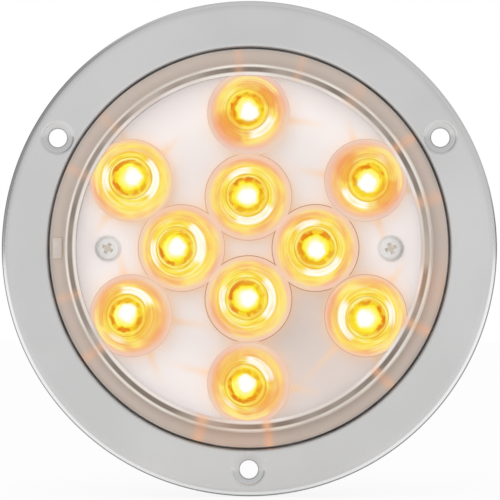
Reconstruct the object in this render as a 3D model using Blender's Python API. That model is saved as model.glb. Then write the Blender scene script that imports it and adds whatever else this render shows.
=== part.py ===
"""Round LED warning lamp with a clear lens, seated in a stamped three-screw flange.

The lamp's axis is Y. The lens faces -Y, +Z is up, and the origin is the centre of the plane where
the flange's rim meets the panel. Levels named _Y are places along that axis, so front is negative.
Sizes are in metres.
"""

import math

import bmesh
import bpy
from mathutils import Matrix, Vector

# Fits
CLEARANCE = 0.0003
OPTIC_CLEARANCE = 0.0003
BOARD_CLEARANCE = 0.0004
LAMP_PLAY = 0.0008
MERGE = 0.000001
SINK = 0.0005

# Ten collimator optics: six on a ring and four inside it, each one pitch from its neighbours
OPTIC_DIAMETER = 0.0228
OPTIC_GAP = 0.0008
RING_PITCHES = 1.6063
OPTIC_HEIGHT = 0.0096
OPTIC_RIM = 0.0014
OPTIC_RIM_STEP = 0.0004
OPTIC_WELL_RADIUS = 0.0045
OPTIC_WELL_DEPTH = 0.0030
OPTIC_CROWN = 0.0009
OPTIC_WALL = 0.0012

# Light-emitting diodes, and the air round each inside its optic
EMITTER_SIDE = 0.0035
EMITTER_BASE = 0.0008
EMITTER_DOME = 0.0014
EMITTER_EDGE = 0.0003
EMITTER_SIDE_AIR = 0.0009
EMITTER_TOP_AIR = 0.0020

# Lens
LENS_WALL = 0.0018
LENS_FACE = 0.0020
LENS_CORNER = 0.0014
LENS_CROWN = 0.0004
DOME_HEIGHT = 0.0060
LIP_WIDTH = 0.0041
LIP_THICKNESS = 0.0026
LIP_EDGE = 0.0004
LIP_ROOT = 0.0006
OPTIC_AIR = 0.0007
KEY_WIDTH = 0.0026
KEY_LENGTH = 0.0059
KEY_HEIGHT = 0.0004
KEY_INSET = 0.0009

# Rubber seat ring
RING_BASE = 0.0015
RING_WALL = 0.0006
RING_DROP = 0.0004

# Flange
FLANGE_WIDTH = 0.01315
FLANGE_HEIGHT = 0.0045
SHEET = 0.0012
RIM_ROLL = 0.0028
MOUTH_ROLL = 0.0015
SEAT_DEPTH = 0.0041
LEDGE_CORNER = 0.0006
HOLE_INSET = 0.0055
HOLE_DIAMETER = 0.0052
DIMPLE_DIAMETER = 0.0078
DIMPLE_DEPTH = 0.0013
DIMPLE_WALL = 0.0007
HOLE_ANGLES = (30, 150, 270)

# Spring clips behind the flange's ledge
CLIP_SHEET = 0.0006
CLIP_WIDTH = 0.0090
CLIP_REACH = 0.0049
CLIP_LEAN = 0.0006
CLIP_TAIL = 0.0024
CLIP_FLARE = 0.0008
CLIP_ANGLES = (90, 210, 330)

# Boards and what holds them
BOARD = 0.0016
DRIVER_HEIGHT = 0.0440
DRIVER_CLEARANCE = 0.0010
SPACER_LENGTH = 0.0036
SPACER_WALL = 0.0015
SCREW_EDGE = 0.0092
SCREW_SHANK = 0.0029
SCREW_HEAD = 0.0062
SCREW_HEAD_SIDE = 0.0010
SCREW_HEAD_CROWN = 0.0012
SCREW_BITE = 0.0055
SCREW_CROSS_LENGTH = 0.0036
SCREW_CROSS_WIDTH = 0.0009
SCREW_CROSS_DEPTH = 0.0012
WASHER_DIAMETER = 0.0074
WASHER_THICKNESS = 0.0006
CONNECTOR_WIDTH = 0.0080
CONNECTOR_HEIGHT = 0.0050
CONNECTOR_EDGE = 0.0060

# Parts on the back of the driver board
CHOKE_DIAMETER = 0.0100
CHOKE_HEIGHT = 0.0062
CHOKE_WAIST = 0.0078
CHOKE_FLANGE = 0.0012
CAPACITOR_DIAMETER = 0.0080
CAPACITOR_HEIGHT = 0.0068
CAPACITOR_CRIMP = 0.0004
CHIP_SIZE = (0.0060, 0.0016, 0.0050)
TRANSISTOR_SIZE = (0.0066, 0.0023, 0.0061)
DIODE_SIZE = (0.0070, 0.0024, 0.0042)
PART_RISE = 0.0095
DIODE_EDGE = 0.0018
HEADROOM = 0.0010

# Rear housing
HOUSING_WALL = 0.0026
HOUSING_FLOOR = 0.0024
HOUSING_STEP = 0.0014
SHOULDER = 0.0056
BACK_CORNER = 0.0030
FLOOR_CORNER = 0.0012
BOSS_WALL = 0.0019
RIB_COUNT = 8
RIB_WIDTH = 0.0018
RIB_HEIGHT = 0.0012
RIB_INNER_MARGIN = 0.0085
RIB_OUTER_MARGIN = 0.0040

# Receptacle for the vehicle's plug, with three pins
SOCKET_MARGIN = 0.0038
SOCKET_HEIGHT = 0.0120
SOCKET_CORNER = 0.0030
SOCKET_WALL = 0.0020
SOCKET_DEPTH = 0.0110
SLOT_WIDTH = 0.0034
PIN_DIAMETER = 0.0024
PIN_PITCH = 0.0080
PIN_RECESS = 0.0048
PIN_TIP = 0.0005
PIN_FOOT_RADIUS = 0.0020
PIN_FOOT = 0.0008
WELL_MARGIN = 0.0033
WELL_WALL = 0.0015
WELL_HEIGHT = 0.0040
POTTING_DROP = 0.0006

# Facets round each size of piece
LARGE_STEPS = 60
OPTIC_STEPS = 18
SMALL_STEPS = 16
CURVE_POINTS = 3

# Radii, worked outwards from the optics
OPTIC_PITCH = OPTIC_DIAMETER + OPTIC_GAP
RING_RADIUS = RING_PITCHES * OPTIC_PITCH
BORE_RADIUS = RING_RADIUS + OPTIC_DIAMETER / 2 + OPTIC_CLEARANCE
DOME_RADIUS = BORE_RADIUS + LENS_WALL
LIP_RADIUS = DOME_RADIUS + LIP_WIDTH
RING_INNER = LIP_RADIUS + CLEARANCE
RING_OUTER = RING_INNER + RING_WALL
MOUTH_RADIUS = RING_OUTER + CLEARANCE
COLLAR_RADIUS = MOUTH_RADIUS + SHEET
FLANGE_RADIUS = MOUTH_RADIUS + FLANGE_WIDTH
HOLE_CIRCLE = MOUTH_RADIUS + HOLE_INSET
HOUSING_RADIUS = BORE_RADIUS + HOUSING_WALL
LEDGE_RADIUS = HOUSING_RADIUS + LAMP_PLAY
BOARD_RADIUS = BORE_RADIUS - BOARD_CLEARANCE
SHELF_RADIUS = BORE_RADIUS - HOUSING_STEP
BACK_RADIUS = HOUSING_RADIUS - HOUSING_STEP
DRIVER_RADIUS = SHELF_RADIUS - DRIVER_CLEARANCE
OPTIC_BORE = EMITTER_SIDE / math.sqrt(2) + EMITTER_SIDE_AIR
OPTIC_FOOT = OPTIC_BORE + OPTIC_WALL
SCREW_X = BOARD_RADIUS - SCREW_EDGE
SHANK_RADIUS = SCREW_SHANK / 2
SCREW_HOLE_RADIUS = SHANK_RADIUS + CLEARANCE
BOSS_RADIUS = SCREW_HOLE_RADIUS + BOSS_WALL
WELL_RADIUS = PIN_PITCH + PIN_DIAMETER / 2 + WELL_MARGIN
SOCKET_WIDTH = 2 * (PIN_PITCH + PIN_DIAMETER / 2 + SOCKET_MARGIN)
PART_X = (WELL_RADIUS + WELL_WALL + SCREW_X - BOSS_RADIUS) / 2
DIODE_RISE = DRIVER_HEIGHT / 2 - DIODE_EDGE - DIODE_SIZE[2] / 2
CONNECTOR_DROP = DRIVER_HEIGHT / 2 - CONNECTOR_EDGE

# Levels along the axis, worked back from the flange's face
FACE_Y = -FLANGE_HEIGHT
LEDGE_Y = FACE_Y + SEAT_DEPTH
RING_BACK_Y = LEDGE_Y - CLEARANCE
RING_FRONT_Y = RING_BACK_Y - RING_BASE
LIP_BACK_Y = RING_FRONT_Y - CLEARANCE
LIP_FRONT_Y = LIP_BACK_Y - LIP_THICKNESS
LENS_FRONT_Y = LIP_FRONT_Y - DOME_HEIGHT
LENS_INSIDE_Y = LENS_FRONT_Y + LENS_FACE
OPTIC_FRONT_Y = LENS_INSIDE_Y + OPTIC_AIR
OPTIC_BACK_Y = OPTIC_FRONT_Y + OPTIC_HEIGHT
BOARD_FRONT_Y = OPTIC_BACK_Y + CLEARANCE
BOARD_BACK_Y = BOARD_FRONT_Y + BOARD
SHELF_Y = BOARD_BACK_Y + CLEARANCE
DRIVER_FRONT_Y = SHELF_Y + SPACER_LENGTH + CLEARANCE
DRIVER_BACK_Y = DRIVER_FRONT_Y + BOARD
PARTS_Y = DRIVER_BACK_Y + CLEARANCE
FLOOR_Y = PARTS_Y + max(CHOKE_HEIGHT, CAPACITOR_HEIGHT) + HEADROOM
BACK_Y = FLOOR_Y + HOUSING_FLOOR
SOCKET_Y = BACK_Y + SOCKET_DEPTH
PIN_TIP_Y = SOCKET_Y - PIN_RECESS
SHOULDER_Y = SHELF_Y + SHOULDER


def clear_scene():
    """Empty the scene before modelling."""
    for old in list(bpy.data.objects):
        bpy.data.objects.remove(old, do_unlink=True)


def finish(name, colour, roughness, metallic=0.0, alpha=1.0):
    """A plain surface finish for one kind of piece."""
    made = bpy.data.materials.new(name)
    made.use_nodes = True
    shader = made.node_tree.nodes["Principled BSDF"]
    shader.inputs["Base Color"].default_value = (*colour, 1.0)
    shader.inputs["Roughness"].default_value = roughness
    shader.inputs["Metallic"].default_value = metallic
    shader.inputs["Alpha"].default_value = alpha
    return made


def group(name):
    """An empty on the lamp's axis that carries the pieces of one unit."""
    made = bpy.data.objects.new(name, None)
    bpy.context.scene.collection.objects.link(made)
    return made


def piece(name, bm, material=None, unit=None, place=(0.0, 0.0, 0.0), turn=0.0):
    """Make a named object of a mesh, turned about the lamp's axis by some degrees."""
    mesh = bpy.data.meshes.new(name)
    bm.to_mesh(mesh)
    bm.free()
    return copy_of(name, mesh, material, unit, place, turn)


def copy_of(name, mesh, material=None, unit=None, place=(0.0, 0.0, 0.0), turn=0.0):
    """Make a named object that shares a mesh."""
    made = bpy.data.objects.new(name, mesh)
    bpy.context.scene.collection.objects.link(made)
    made.parent = unit
    made.location = place
    made.rotation_euler = (0.0, math.radians(-turn), 0.0)
    if material and not mesh.materials:
        mesh.materials.append(material)
    mesh.shade_smooth()
    mesh.set_sharp_from_angle(angle=math.radians(30))
    return made


def arc(centre, radius, start, end, count):
    """Points on an arc in the (radius, y) plane, by angles in degrees from outwards towards the back."""
    angles = [math.radians(start + (end - start) * i / count) for i in range(count + 1)]
    return [(centre[0] + radius * math.cos(a), centre[1] + radius * math.sin(a)) for a in angles]


def crown(radius, base, height):
    """Points from the axis out to an edge, on a shallow dome whose edge is at the base level."""
    shares = [i / CURVE_POINTS for i in range(CURVE_POINTS + 1)]
    return [(radius * share, base + height * (1 - share**2)) for share in shares]


def turned(outline, steps, closed=True):
    """Spin an outline of (radius, y) points about the Y axis."""
    bm = bmesh.new()
    verts = [bm.verts.new((radius, y, 0.0)) for radius, y in outline]
    ends = verts[1:] + verts[:1] if closed else verts[1:]
    edges = [bm.edges.new(pair) for pair in zip(verts, ends)]
    bmesh.ops.spin(bm, geom=verts + edges, cent=(0, 0, 0), axis=(0, 1, 0),
                   angle=math.tau, steps=steps, use_merge=True)
    bmesh.ops.remove_doubles(bm, verts=bm.verts, dist=MERGE)
    bmesh.ops.recalc_face_normals(bm, faces=bm.faces)
    return bm


def rod(radius, front, back, steps=SMALL_STEPS):
    """A plain round bar along Y."""
    bm = bmesh.new()
    place = Matrix.Translation((0.0, (front + back) / 2, 0.0)) @ Matrix.Rotation(math.pi / 2, 4, "X")
    bmesh.ops.create_cone(bm, cap_ends=True, segments=steps, radius1=radius, radius2=radius,
                          depth=back - front, matrix=place)
    return bm


def block(size, centre):
    """A plain box."""
    bm = bmesh.new()
    bmesh.ops.create_cube(bm, size=1.0)
    bmesh.ops.scale(bm, vec=Vector(size), verts=bm.verts)
    bmesh.ops.translate(bm, vec=Vector(centre), verts=bm.verts)
    return bm


def extruded(corners, way):
    """Fill a flat outline and draw it out along a vector."""
    bm = bmesh.new()
    face = bm.faces.new([bm.verts.new(corner) for corner in corners])
    grown = bmesh.ops.extrude_face_region(bm, geom=[face])
    moved = [item for item in grown["geom"] if isinstance(item, bmesh.types.BMVert)]
    bmesh.ops.translate(bm, vec=way, verts=moved)
    bmesh.ops.recalc_face_normals(bm, faces=bm.faces)
    return bm


def rounded_bar(width, height, corner, front, back):
    """A bar along Y whose section is a rounded rectangle."""
    outline = []
    for quarter, (side, rise) in enumerate(((1, 1), (-1, 1), (-1, -1), (1, -1))):
        centre = (side * (width / 2 - corner), rise * (height / 2 - corner))
        outline += arc(centre, corner, 90 * quarter, 90 * quarter + 90, CURVE_POINTS)
    return extruded([(x, front, z) for x, z in outline], (0.0, back - front, 0.0))


def combine(target, operation, bm, place=(0.0, 0.0, 0.0), turn=0.0):
    """Join a shape to a piece, or cut it out of the piece."""
    tool = piece("tool", bm, None, target.parent, place, turn)
    made = target.modifiers.new("combine", "BOOLEAN")
    made.operation = operation
    made.solver = "EXACT"
    made.object = tool
    bpy.context.view_layer.update()
    shown = target.evaluated_get(bpy.context.evaluated_depsgraph_get())
    mesh = bpy.data.meshes.new_from_object(shown)
    mesh.name = target.name
    target.modifiers.remove(made)
    target.data = mesh
    bpy.data.objects.remove(tool, do_unlink=True)
    mesh.shade_smooth()
    mesh.set_sharp_from_angle(angle=math.radians(30))


def on_circle(radius, angle):
    """The x and z of a point at an angle in degrees, counted from +X towards +Z."""
    return radius * math.cos(math.radians(angle)), radius * math.sin(math.radians(angle))


def optic_places():
    """The x and z of each optic: the ring from the top clockwise, then the inner four."""
    places = [on_circle(RING_RADIUS, 90 - 60 * i) for i in range(6)]
    rise = RING_RADIUS - OPTIC_PITCH
    side = math.sqrt(OPTIC_PITCH**2 - rise**2)
    return places + [(0.0, rise), (side, 0.0), (0.0, -rise), (-side, 0.0)]


def place_copies(name, bm, material, unit, level, addition=None):
    """Set one numbered copy of a shape, with any addition joined to it, at each optic's place."""
    first, *others = optic_places()
    model = piece(f"{name}_01", bm, material, unit, (first[0], level, first[1]))
    if addition:
        combine(model, "UNION", addition, model.location)
    for number, (x, z) in enumerate(others, start=2):
        copy_of(f"{name}_{number:02}", model.data, unit=unit, place=(x, level, z))


def make_flange(unit):
    """Sheet steel ring: rolled rim, flat face, and a collar that ends in the lamp's ledge."""
    steel = finish("satin_stainless_steel", (0.60, 0.60, 0.60), 0.32, 1.0)
    ledge_back = LEDGE_Y + SHEET
    rim_centre = (FLANGE_RADIUS - RIM_ROLL, FACE_Y + RIM_ROLL)
    mouth_centre = (MOUTH_RADIUS + MOUTH_ROLL, FACE_Y + MOUTH_ROLL)
    outline = [(FLANGE_RADIUS, 0.0)]
    outline += arc(rim_centre, RIM_ROLL, 0, -90, 4)
    outline += arc(mouth_centre, MOUTH_ROLL, -90, -180, 3)
    outline += [(MOUTH_RADIUS, LEDGE_Y), (LEDGE_RADIUS, LEDGE_Y), (LEDGE_RADIUS, ledge_back)]
    outline += [(COLLAR_RADIUS - LEDGE_CORNER, ledge_back), (COLLAR_RADIUS, ledge_back - LEDGE_CORNER)]
    outline += [(COLLAR_RADIUS, FACE_Y + SHEET)]
    outline += arc(rim_centre, RIM_ROLL - SHEET, -90, 0, 3)
    outline += [(FLANGE_RADIUS - SHEET, 0.0)]
    flange = piece("mounting_flange", turned(outline, LARGE_STEPS), steel, unit)
    hole = HOLE_DIAMETER / 2
    dimple = DIMPLE_DIAMETER / 2
    flare = SINK * (dimple - hole) / DIMPLE_DEPTH
    cup_back = FACE_Y + DIMPLE_DEPTH + SHEET
    cup = [(0.0, FACE_Y + SINK), (dimple + DIMPLE_WALL, FACE_Y + SINK)]
    cup += [(hole + DIMPLE_WALL, cup_back), (0.0, cup_back)]
    sink = [(0.0, FACE_Y - SINK), (dimple + flare, FACE_Y - SINK)]
    sink += [(hole, FACE_Y + DIMPLE_DEPTH), (hole, cup_back + SINK), (0.0, cup_back + SINK)]
    half_facet = 180 / SMALL_STEPS
    for angle in HOLE_ANGLES:
        x, z = on_circle(HOLE_CIRCLE, angle)
        place = (x, 0.0, z)
        combine(flange, "UNION", turned(cup, SMALL_STEPS, closed=False), place)
        combine(flange, "DIFFERENCE", turned(sink, SMALL_STEPS, closed=False), place, half_facet)


def make_seat_ring(unit):
    """L-section rubber ring: the lens lip sits on its base, and its wall fills the gap to the flange."""
    rubber = finish("black_rubber", (0.02, 0.02, 0.02), 0.75)
    inner = LEDGE_RADIUS + CLEARANCE
    top = FACE_Y + RING_DROP
    outline = [(RING_OUTER, RING_BACK_Y), (RING_OUTER, top), (RING_INNER, top)]
    outline += [(RING_INNER, RING_FRONT_Y), (inner, RING_FRONT_Y), (inner, RING_BACK_Y)]
    piece("seat_ring", turned(outline, LARGE_STEPS), rubber, unit)


def make_clips(unit):
    """Three bent leaves on the back of the ledge, which press on the lamp's housing."""
    spring_steel = finish("spring_steel", (0.45, 0.45, 0.46), 0.35, 1.0)
    front = LEDGE_Y + SHEET + CLEARANCE
    touch = HOUSING_RADIUS + CLEARANCE
    bend = touch + CLIP_LEAN
    press = (touch, front + CLIP_REACH)
    tip = (touch + CLIP_FLARE, front + CLIP_REACH + CLIP_TAIL)
    foot = COLLAR_RADIUS - LEDGE_CORNER
    outline = [(foot, front), (bend, front), press, tip]
    outline += [(tip[0] + CLIP_SHEET, tip[1]), (press[0] + CLIP_SHEET, press[1])]
    outline += [(bend + CLIP_SHEET, front + CLIP_SHEET), (foot, front + CLIP_SHEET)]
    corners = [(radius, y, -CLIP_WIDTH / 2) for radius, y in outline]
    leaf = extruded(corners, (0.0, 0.0, CLIP_WIDTH))
    first = piece("retaining_clip_1", leaf, spring_steel, unit, turn=CLIP_ANGLES[0])
    for number, angle in enumerate(CLIP_ANGLES[1:], start=2):
        copy_of(f"retaining_clip_{number}", first.data, unit=unit, turn=angle)


def make_lens(unit):
    """Clear cap: a round window that stands proud, and a lip that the flange surrounds."""
    clear = finish("clear_polycarbonate", (0.95, 0.95, 0.95), 0.05, 0.0, 0.35)
    corner = (DOME_RADIUS - LENS_CORNER, LENS_FRONT_Y + LENS_CROWN + LENS_CORNER)
    root = (DOME_RADIUS + LIP_ROOT, LIP_FRONT_Y - LIP_ROOT)
    inside = LENS_CORNER / 2
    outline = crown(corner[0], corner[1] - LENS_CORNER, -LENS_CROWN)[:-1]
    outline += arc(corner, LENS_CORNER, -90, 0, CURVE_POINTS)
    outline += arc(root, LIP_ROOT, 180, 90, CURVE_POINTS)
    outline += [(LIP_RADIUS - LIP_EDGE, LIP_FRONT_Y), (LIP_RADIUS, LIP_FRONT_Y + LIP_EDGE)]
    outline += [(LIP_RADIUS, LIP_BACK_Y), (BORE_RADIUS, LIP_BACK_Y)]
    outline += arc((BORE_RADIUS - inside, LENS_INSIDE_Y + inside), inside, 0, -90, CURVE_POINTS)
    outline += [(0.0, LENS_INSIDE_Y)]
    lens = piece("lens", turned(outline, LARGE_STEPS, closed=False), clear, unit)
    key_x = -(LIP_RADIUS - KEY_INSET - KEY_WIDTH / 2)
    key_y = LIP_FRONT_Y + (SINK - KEY_HEIGHT) / 2
    key = block((KEY_WIDTH, KEY_HEIGHT + SINK, KEY_LENGTH), (key_x, key_y, 0.0))
    combine(lens, "UNION", key)


def make_housing(unit):
    """Moulded rear cup with the board's shelf and bosses, the back's ribs and the plug receptacle."""
    plastic = finish("black_abs", (0.025, 0.025, 0.027), 0.5)
    rim = LIP_BACK_Y + CLEARANCE
    back_corner = (BACK_RADIUS - BACK_CORNER, BACK_Y - BACK_CORNER)
    floor_corner = (SHELF_RADIUS - FLOOR_CORNER, FLOOR_Y - FLOOR_CORNER)
    outline = [(0.0, FLOOR_Y)] + arc(floor_corner, FLOOR_CORNER, 90, 0, CURVE_POINTS)
    outline += [(SHELF_RADIUS, SHELF_Y), (BORE_RADIUS, SHELF_Y), (BORE_RADIUS, rim)]
    outline += [(HOUSING_RADIUS, rim), (HOUSING_RADIUS, SHOULDER_Y - HOUSING_STEP)]
    outline += [(BACK_RADIUS, SHOULDER_Y)]
    outline += arc(back_corner, BACK_CORNER, 0, 90, CURVE_POINTS) + [(0.0, BACK_Y)]
    housing = piece("rear_housing", turned(outline, LARGE_STEPS, closed=False), plastic, unit)
    well = [(WELL_RADIUS, FLOOR_Y - WELL_HEIGHT), (WELL_RADIUS + WELL_WALL, FLOOR_Y - WELL_HEIGHT)]
    well += [(WELL_RADIUS + WELL_WALL, FLOOR_Y + SINK), (WELL_RADIUS, FLOOR_Y + SINK)]
    combine(housing, "UNION", turned(well, SMALL_STEPS * 2))
    rib_start = SOCKET_WIDTH / 2 + SOCKET_WALL + RIB_INNER_MARGIN
    rib_end = BACK_RADIUS - RIB_OUTER_MARGIN
    rib_size = (rib_end - rib_start, RIB_HEIGHT + SINK, RIB_WIDTH)
    rib_middle = ((rib_end + rib_start) / 2, BACK_Y + (RIB_HEIGHT - SINK) / 2, 0.0)
    for number in range(RIB_COUNT):
        combine(housing, "UNION", block(rib_size, rib_middle), turn=360 / RIB_COUNT * (number + 0.5))
    shroud = (SOCKET_WIDTH + 2 * SOCKET_WALL, SOCKET_HEIGHT + 2 * SOCKET_WALL, SOCKET_CORNER + SOCKET_WALL)
    combine(housing, "UNION", rounded_bar(*shroud, BACK_Y - SINK, SOCKET_Y))
    mouth = SOCKET_Y + SINK
    pocket = rounded_bar(SOCKET_WIDTH, SOCKET_HEIGHT, SOCKET_CORNER, BACK_Y - SINK, mouth)
    combine(housing, "DIFFERENCE", pocket)
    slot_size = (SLOT_WIDTH, SOCKET_DEPTH, SOCKET_WALL + 2 * SINK)
    slot_middle = (0.0, BACK_Y + SINK + SOCKET_DEPTH / 2, (SOCKET_HEIGHT + SOCKET_WALL) / 2)
    combine(housing, "DIFFERENCE", block(slot_size, slot_middle))
    for x in (-PIN_PITCH, 0.0, PIN_PITCH):
        hole = rod(PIN_DIAMETER / 2 + CLEARANCE, FLOOR_Y - SINK, BACK_Y + SINK)
        combine(housing, "DIFFERENCE", hole, (x, 0.0, 0.0))
    for x in (-SCREW_X, SCREW_X):
        combine(housing, "UNION", rod(BOSS_RADIUS, PARTS_Y, FLOOR_Y + SINK), (x, 0.0, 0.0))
    for x in (-SCREW_X, SCREW_X):
        pilot = rod(SCREW_HOLE_RADIUS, PARTS_Y - SINK, PARTS_Y + SCREW_BITE + CLEARANCE)
        combine(housing, "DIFFERENCE", pilot, (x, 0.0, 0.0))


def make_led_board(unit):
    """White metal-core disc that carries the diodes and the optics."""
    white = finish("white_solder_mask", (0.86, 0.85, 0.84), 0.45)
    board = piece("led_board", rod(BOARD_RADIUS, BOARD_FRONT_Y, BOARD_BACK_Y, LARGE_STEPS), white, unit)
    for x in (-SCREW_X, SCREW_X):
        hole = rod(SCREW_HOLE_RADIUS, BOARD_FRONT_Y - SINK, BOARD_BACK_Y + SINK)
        combine(board, "DIFFERENCE", hole, (x, 0.0, 0.0))


def make_optics(unit):
    """Turned collimators: a flared body over each diode, with a round well in its front."""
    acrylic = finish("clear_acrylic", (0.98, 0.82, 0.55), 0.08, 0.0, 0.5)
    front = -OPTIC_HEIGHT
    rim = OPTIC_DIAMETER / 2
    throat = front + OPTIC_RIM
    room = EMITTER_BASE + EMITTER_DOME + EMITTER_TOP_AIR
    outline = crown(OPTIC_WELL_RADIUS, front + OPTIC_WELL_DEPTH, -OPTIC_CROWN)
    outline += [(OPTIC_WELL_RADIUS, front), (rim, front), (rim, throat)]
    for i in range(CURVE_POINTS):
        share = 1 - i / CURVE_POINTS
        flare = (rim - OPTIC_RIM_STEP - OPTIC_FOOT) * math.sqrt(share)
        outline.append((OPTIC_FOOT + flare, throat * share))
    outline += [(OPTIC_FOOT, 0.0), (OPTIC_BORE, 0.0), (OPTIC_BORE, -room), (0.0, OPTIC_CROWN - room)]
    place_copies("optic", turned(outline, OPTIC_STEPS, closed=False), acrylic, unit, OPTIC_BACK_Y)


def make_emitters(unit):
    """Square diode packages with a domed cap, one under each optic."""
    amber = finish("amber_diode", (1.0, 0.62, 0.10), 0.3)
    radius = EMITTER_SIDE / 2 - EMITTER_EDGE
    base = block((EMITTER_SIDE, EMITTER_BASE, EMITTER_SIDE), (0.0, -EMITTER_BASE / 2, 0.0))
    root = SINK - EMITTER_BASE
    dome = crown(radius, -EMITTER_BASE, -EMITTER_DOME) + [(radius, root), (0.0, root)]
    cap = turned(dome, SMALL_STEPS // 2, closed=False)
    place_copies("led", base, amber, unit, BOARD_FRONT_Y - CLEARANCE, cap)


def make_board_fixings(unit):
    """Two screws with washers that clamp both boards, with sleeves between the boards."""
    zinc = finish("zinc_plated_steel", (0.62, 0.62, 0.60), 0.35, 1.0)
    brass = finish("nickel_plated_brass", (0.66, 0.62, 0.52), 0.35, 1.0)
    washer_back = BOARD_FRONT_Y - CLEARANCE
    washer_front = washer_back - WASHER_THICKNESS
    seat = washer_front - CLEARANCE
    head = SCREW_HEAD / 2
    top = seat - SCREW_HEAD_SIDE - SCREW_HEAD_CROWN
    tip = PARTS_Y + SCREW_BITE
    screw = crown(head, seat - SCREW_HEAD_SIDE, -SCREW_HEAD_CROWN) + [(head, seat)]
    screw += [(SHANK_RADIUS, seat), (SHANK_RADIUS, tip - SHANK_RADIUS), (SHANK_RADIUS / 2, tip), (0.0, tip)]
    outer = WASHER_DIAMETER / 2
    washer = [(SCREW_HOLE_RADIUS, washer_front), (outer, washer_front)]
    washer += [(outer, washer_back), (SCREW_HOLE_RADIUS, washer_back)]
    sleeve_radius = SCREW_HOLE_RADIUS + SPACER_WALL
    sleeve_back = SHELF_Y + SPACER_LENGTH
    sleeve = [(SCREW_HOLE_RADIUS, SHELF_Y), (sleeve_radius, SHELF_Y)]
    sleeve += [(sleeve_radius, sleeve_back), (SCREW_HOLE_RADIUS, sleeve_back)]
    depth = SCREW_CROSS_DEPTH + SINK
    wing = (SCREW_CROSS_LENGTH, depth, SCREW_CROSS_WIDTH)
    for side, x in (("left", -SCREW_X), ("right", SCREW_X)):
        place = (x, 0.0, 0.0)
        body = piece(f"board_screw_{side}", turned(screw, SMALL_STEPS, closed=False), zinc, unit, place)
        for turn in (0, 90):
            combine(body, "DIFFERENCE", block(wing, (0.0, top + depth / 2 - SINK, 0.0)), place, turn)
        piece(f"board_washer_{side}", turned(washer, SMALL_STEPS), zinc, unit, place)
        piece(f"board_spacer_{side}", turned(sleeve, SMALL_STEPS), brass, unit, place)


def make_driver(unit):
    """Driver board with its choke, capacitor, chip, transistor and diode, and its link to the LED board."""
    green = finish("green_circuit_board", (0.03, 0.16, 0.07), 0.4)
    ferrite = finish("ferrite", (0.06, 0.06, 0.06), 0.6)
    can = finish("aluminium_can", (0.70, 0.70, 0.70), 0.3, 1.0)
    epoxy = finish("black_epoxy", (0.02, 0.02, 0.02), 0.45)
    nylon = finish("natural_nylon", (0.80, 0.78, 0.70), 0.5)
    half = math.degrees(math.asin(DRIVER_HEIGHT / 2 / DRIVER_RADIUS))
    ends = arc((0.0, 0.0), DRIVER_RADIUS, -half, half, SMALL_STEPS // 2)
    ends += arc((0.0, 0.0), DRIVER_RADIUS, 180 - half, 180 + half, SMALL_STEPS // 2)
    slab = extruded([(x, DRIVER_FRONT_Y, z) for x, z in ends], (0.0, BOARD, 0.0))
    board = piece("driver_board", slab, green, unit)
    for x in (-SCREW_X, SCREW_X):
        hole = rod(SCREW_HOLE_RADIUS, DRIVER_FRONT_Y - SINK, DRIVER_BACK_Y + SINK)
        combine(board, "DIFFERENCE", hole, (x, 0.0, 0.0))
    link = (CONNECTOR_WIDTH, SPACER_LENGTH, CONNECTOR_HEIGHT)
    link_place = (0.0, SHELF_Y + SPACER_LENGTH / 2, -CONNECTOR_DROP)
    piece("board_connector", block(link, (0.0, 0.0, 0.0)), nylon, unit, link_place)
    outer, waist = CHOKE_DIAMETER / 2, CHOKE_WAIST / 2
    low, high = CHOKE_FLANGE, CHOKE_HEIGHT - CHOKE_FLANGE
    choke = [(0.0, 0.0), (outer, 0.0), (outer, low), (waist, low), (waist, high), (outer, high)]
    choke += [(outer, CHOKE_HEIGHT), (0.0, CHOKE_HEIGHT)]
    choke_place = (-PART_X, PARTS_Y, PART_RISE)
    piece("driver_choke", turned(choke, SMALL_STEPS, closed=False), ferrite, unit, choke_place)
    radius, crimp = CAPACITOR_DIAMETER / 2, CAPACITOR_CRIMP
    neck = radius - crimp
    capacitor = [(0.0, 0.0), (radius, 0.0), (radius, crimp), (neck, 2 * crimp), (radius, 3 * crimp)]
    capacitor += [(radius, CAPACITOR_HEIGHT - crimp), (neck, CAPACITOR_HEIGHT), (0.0, CAPACITOR_HEIGHT)]
    capacitor_place = (PART_X, PARTS_Y, PART_RISE)
    piece("driver_capacitor", turned(capacitor, SMALL_STEPS, closed=False), can, unit, capacitor_place)
    cases = (
        ("controller_chip", CHIP_SIZE, -PART_X, -PART_RISE),
        ("power_transistor", TRANSISTOR_SIZE, PART_X, -PART_RISE),
        ("surge_diode", DIODE_SIZE, 0.0, DIODE_RISE),
    )
    for name, size, x, z in cases:
        piece(name, block(size, (0.0, size[1] / 2, 0.0)), epoxy, unit, (x, PARTS_Y, z))


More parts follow.
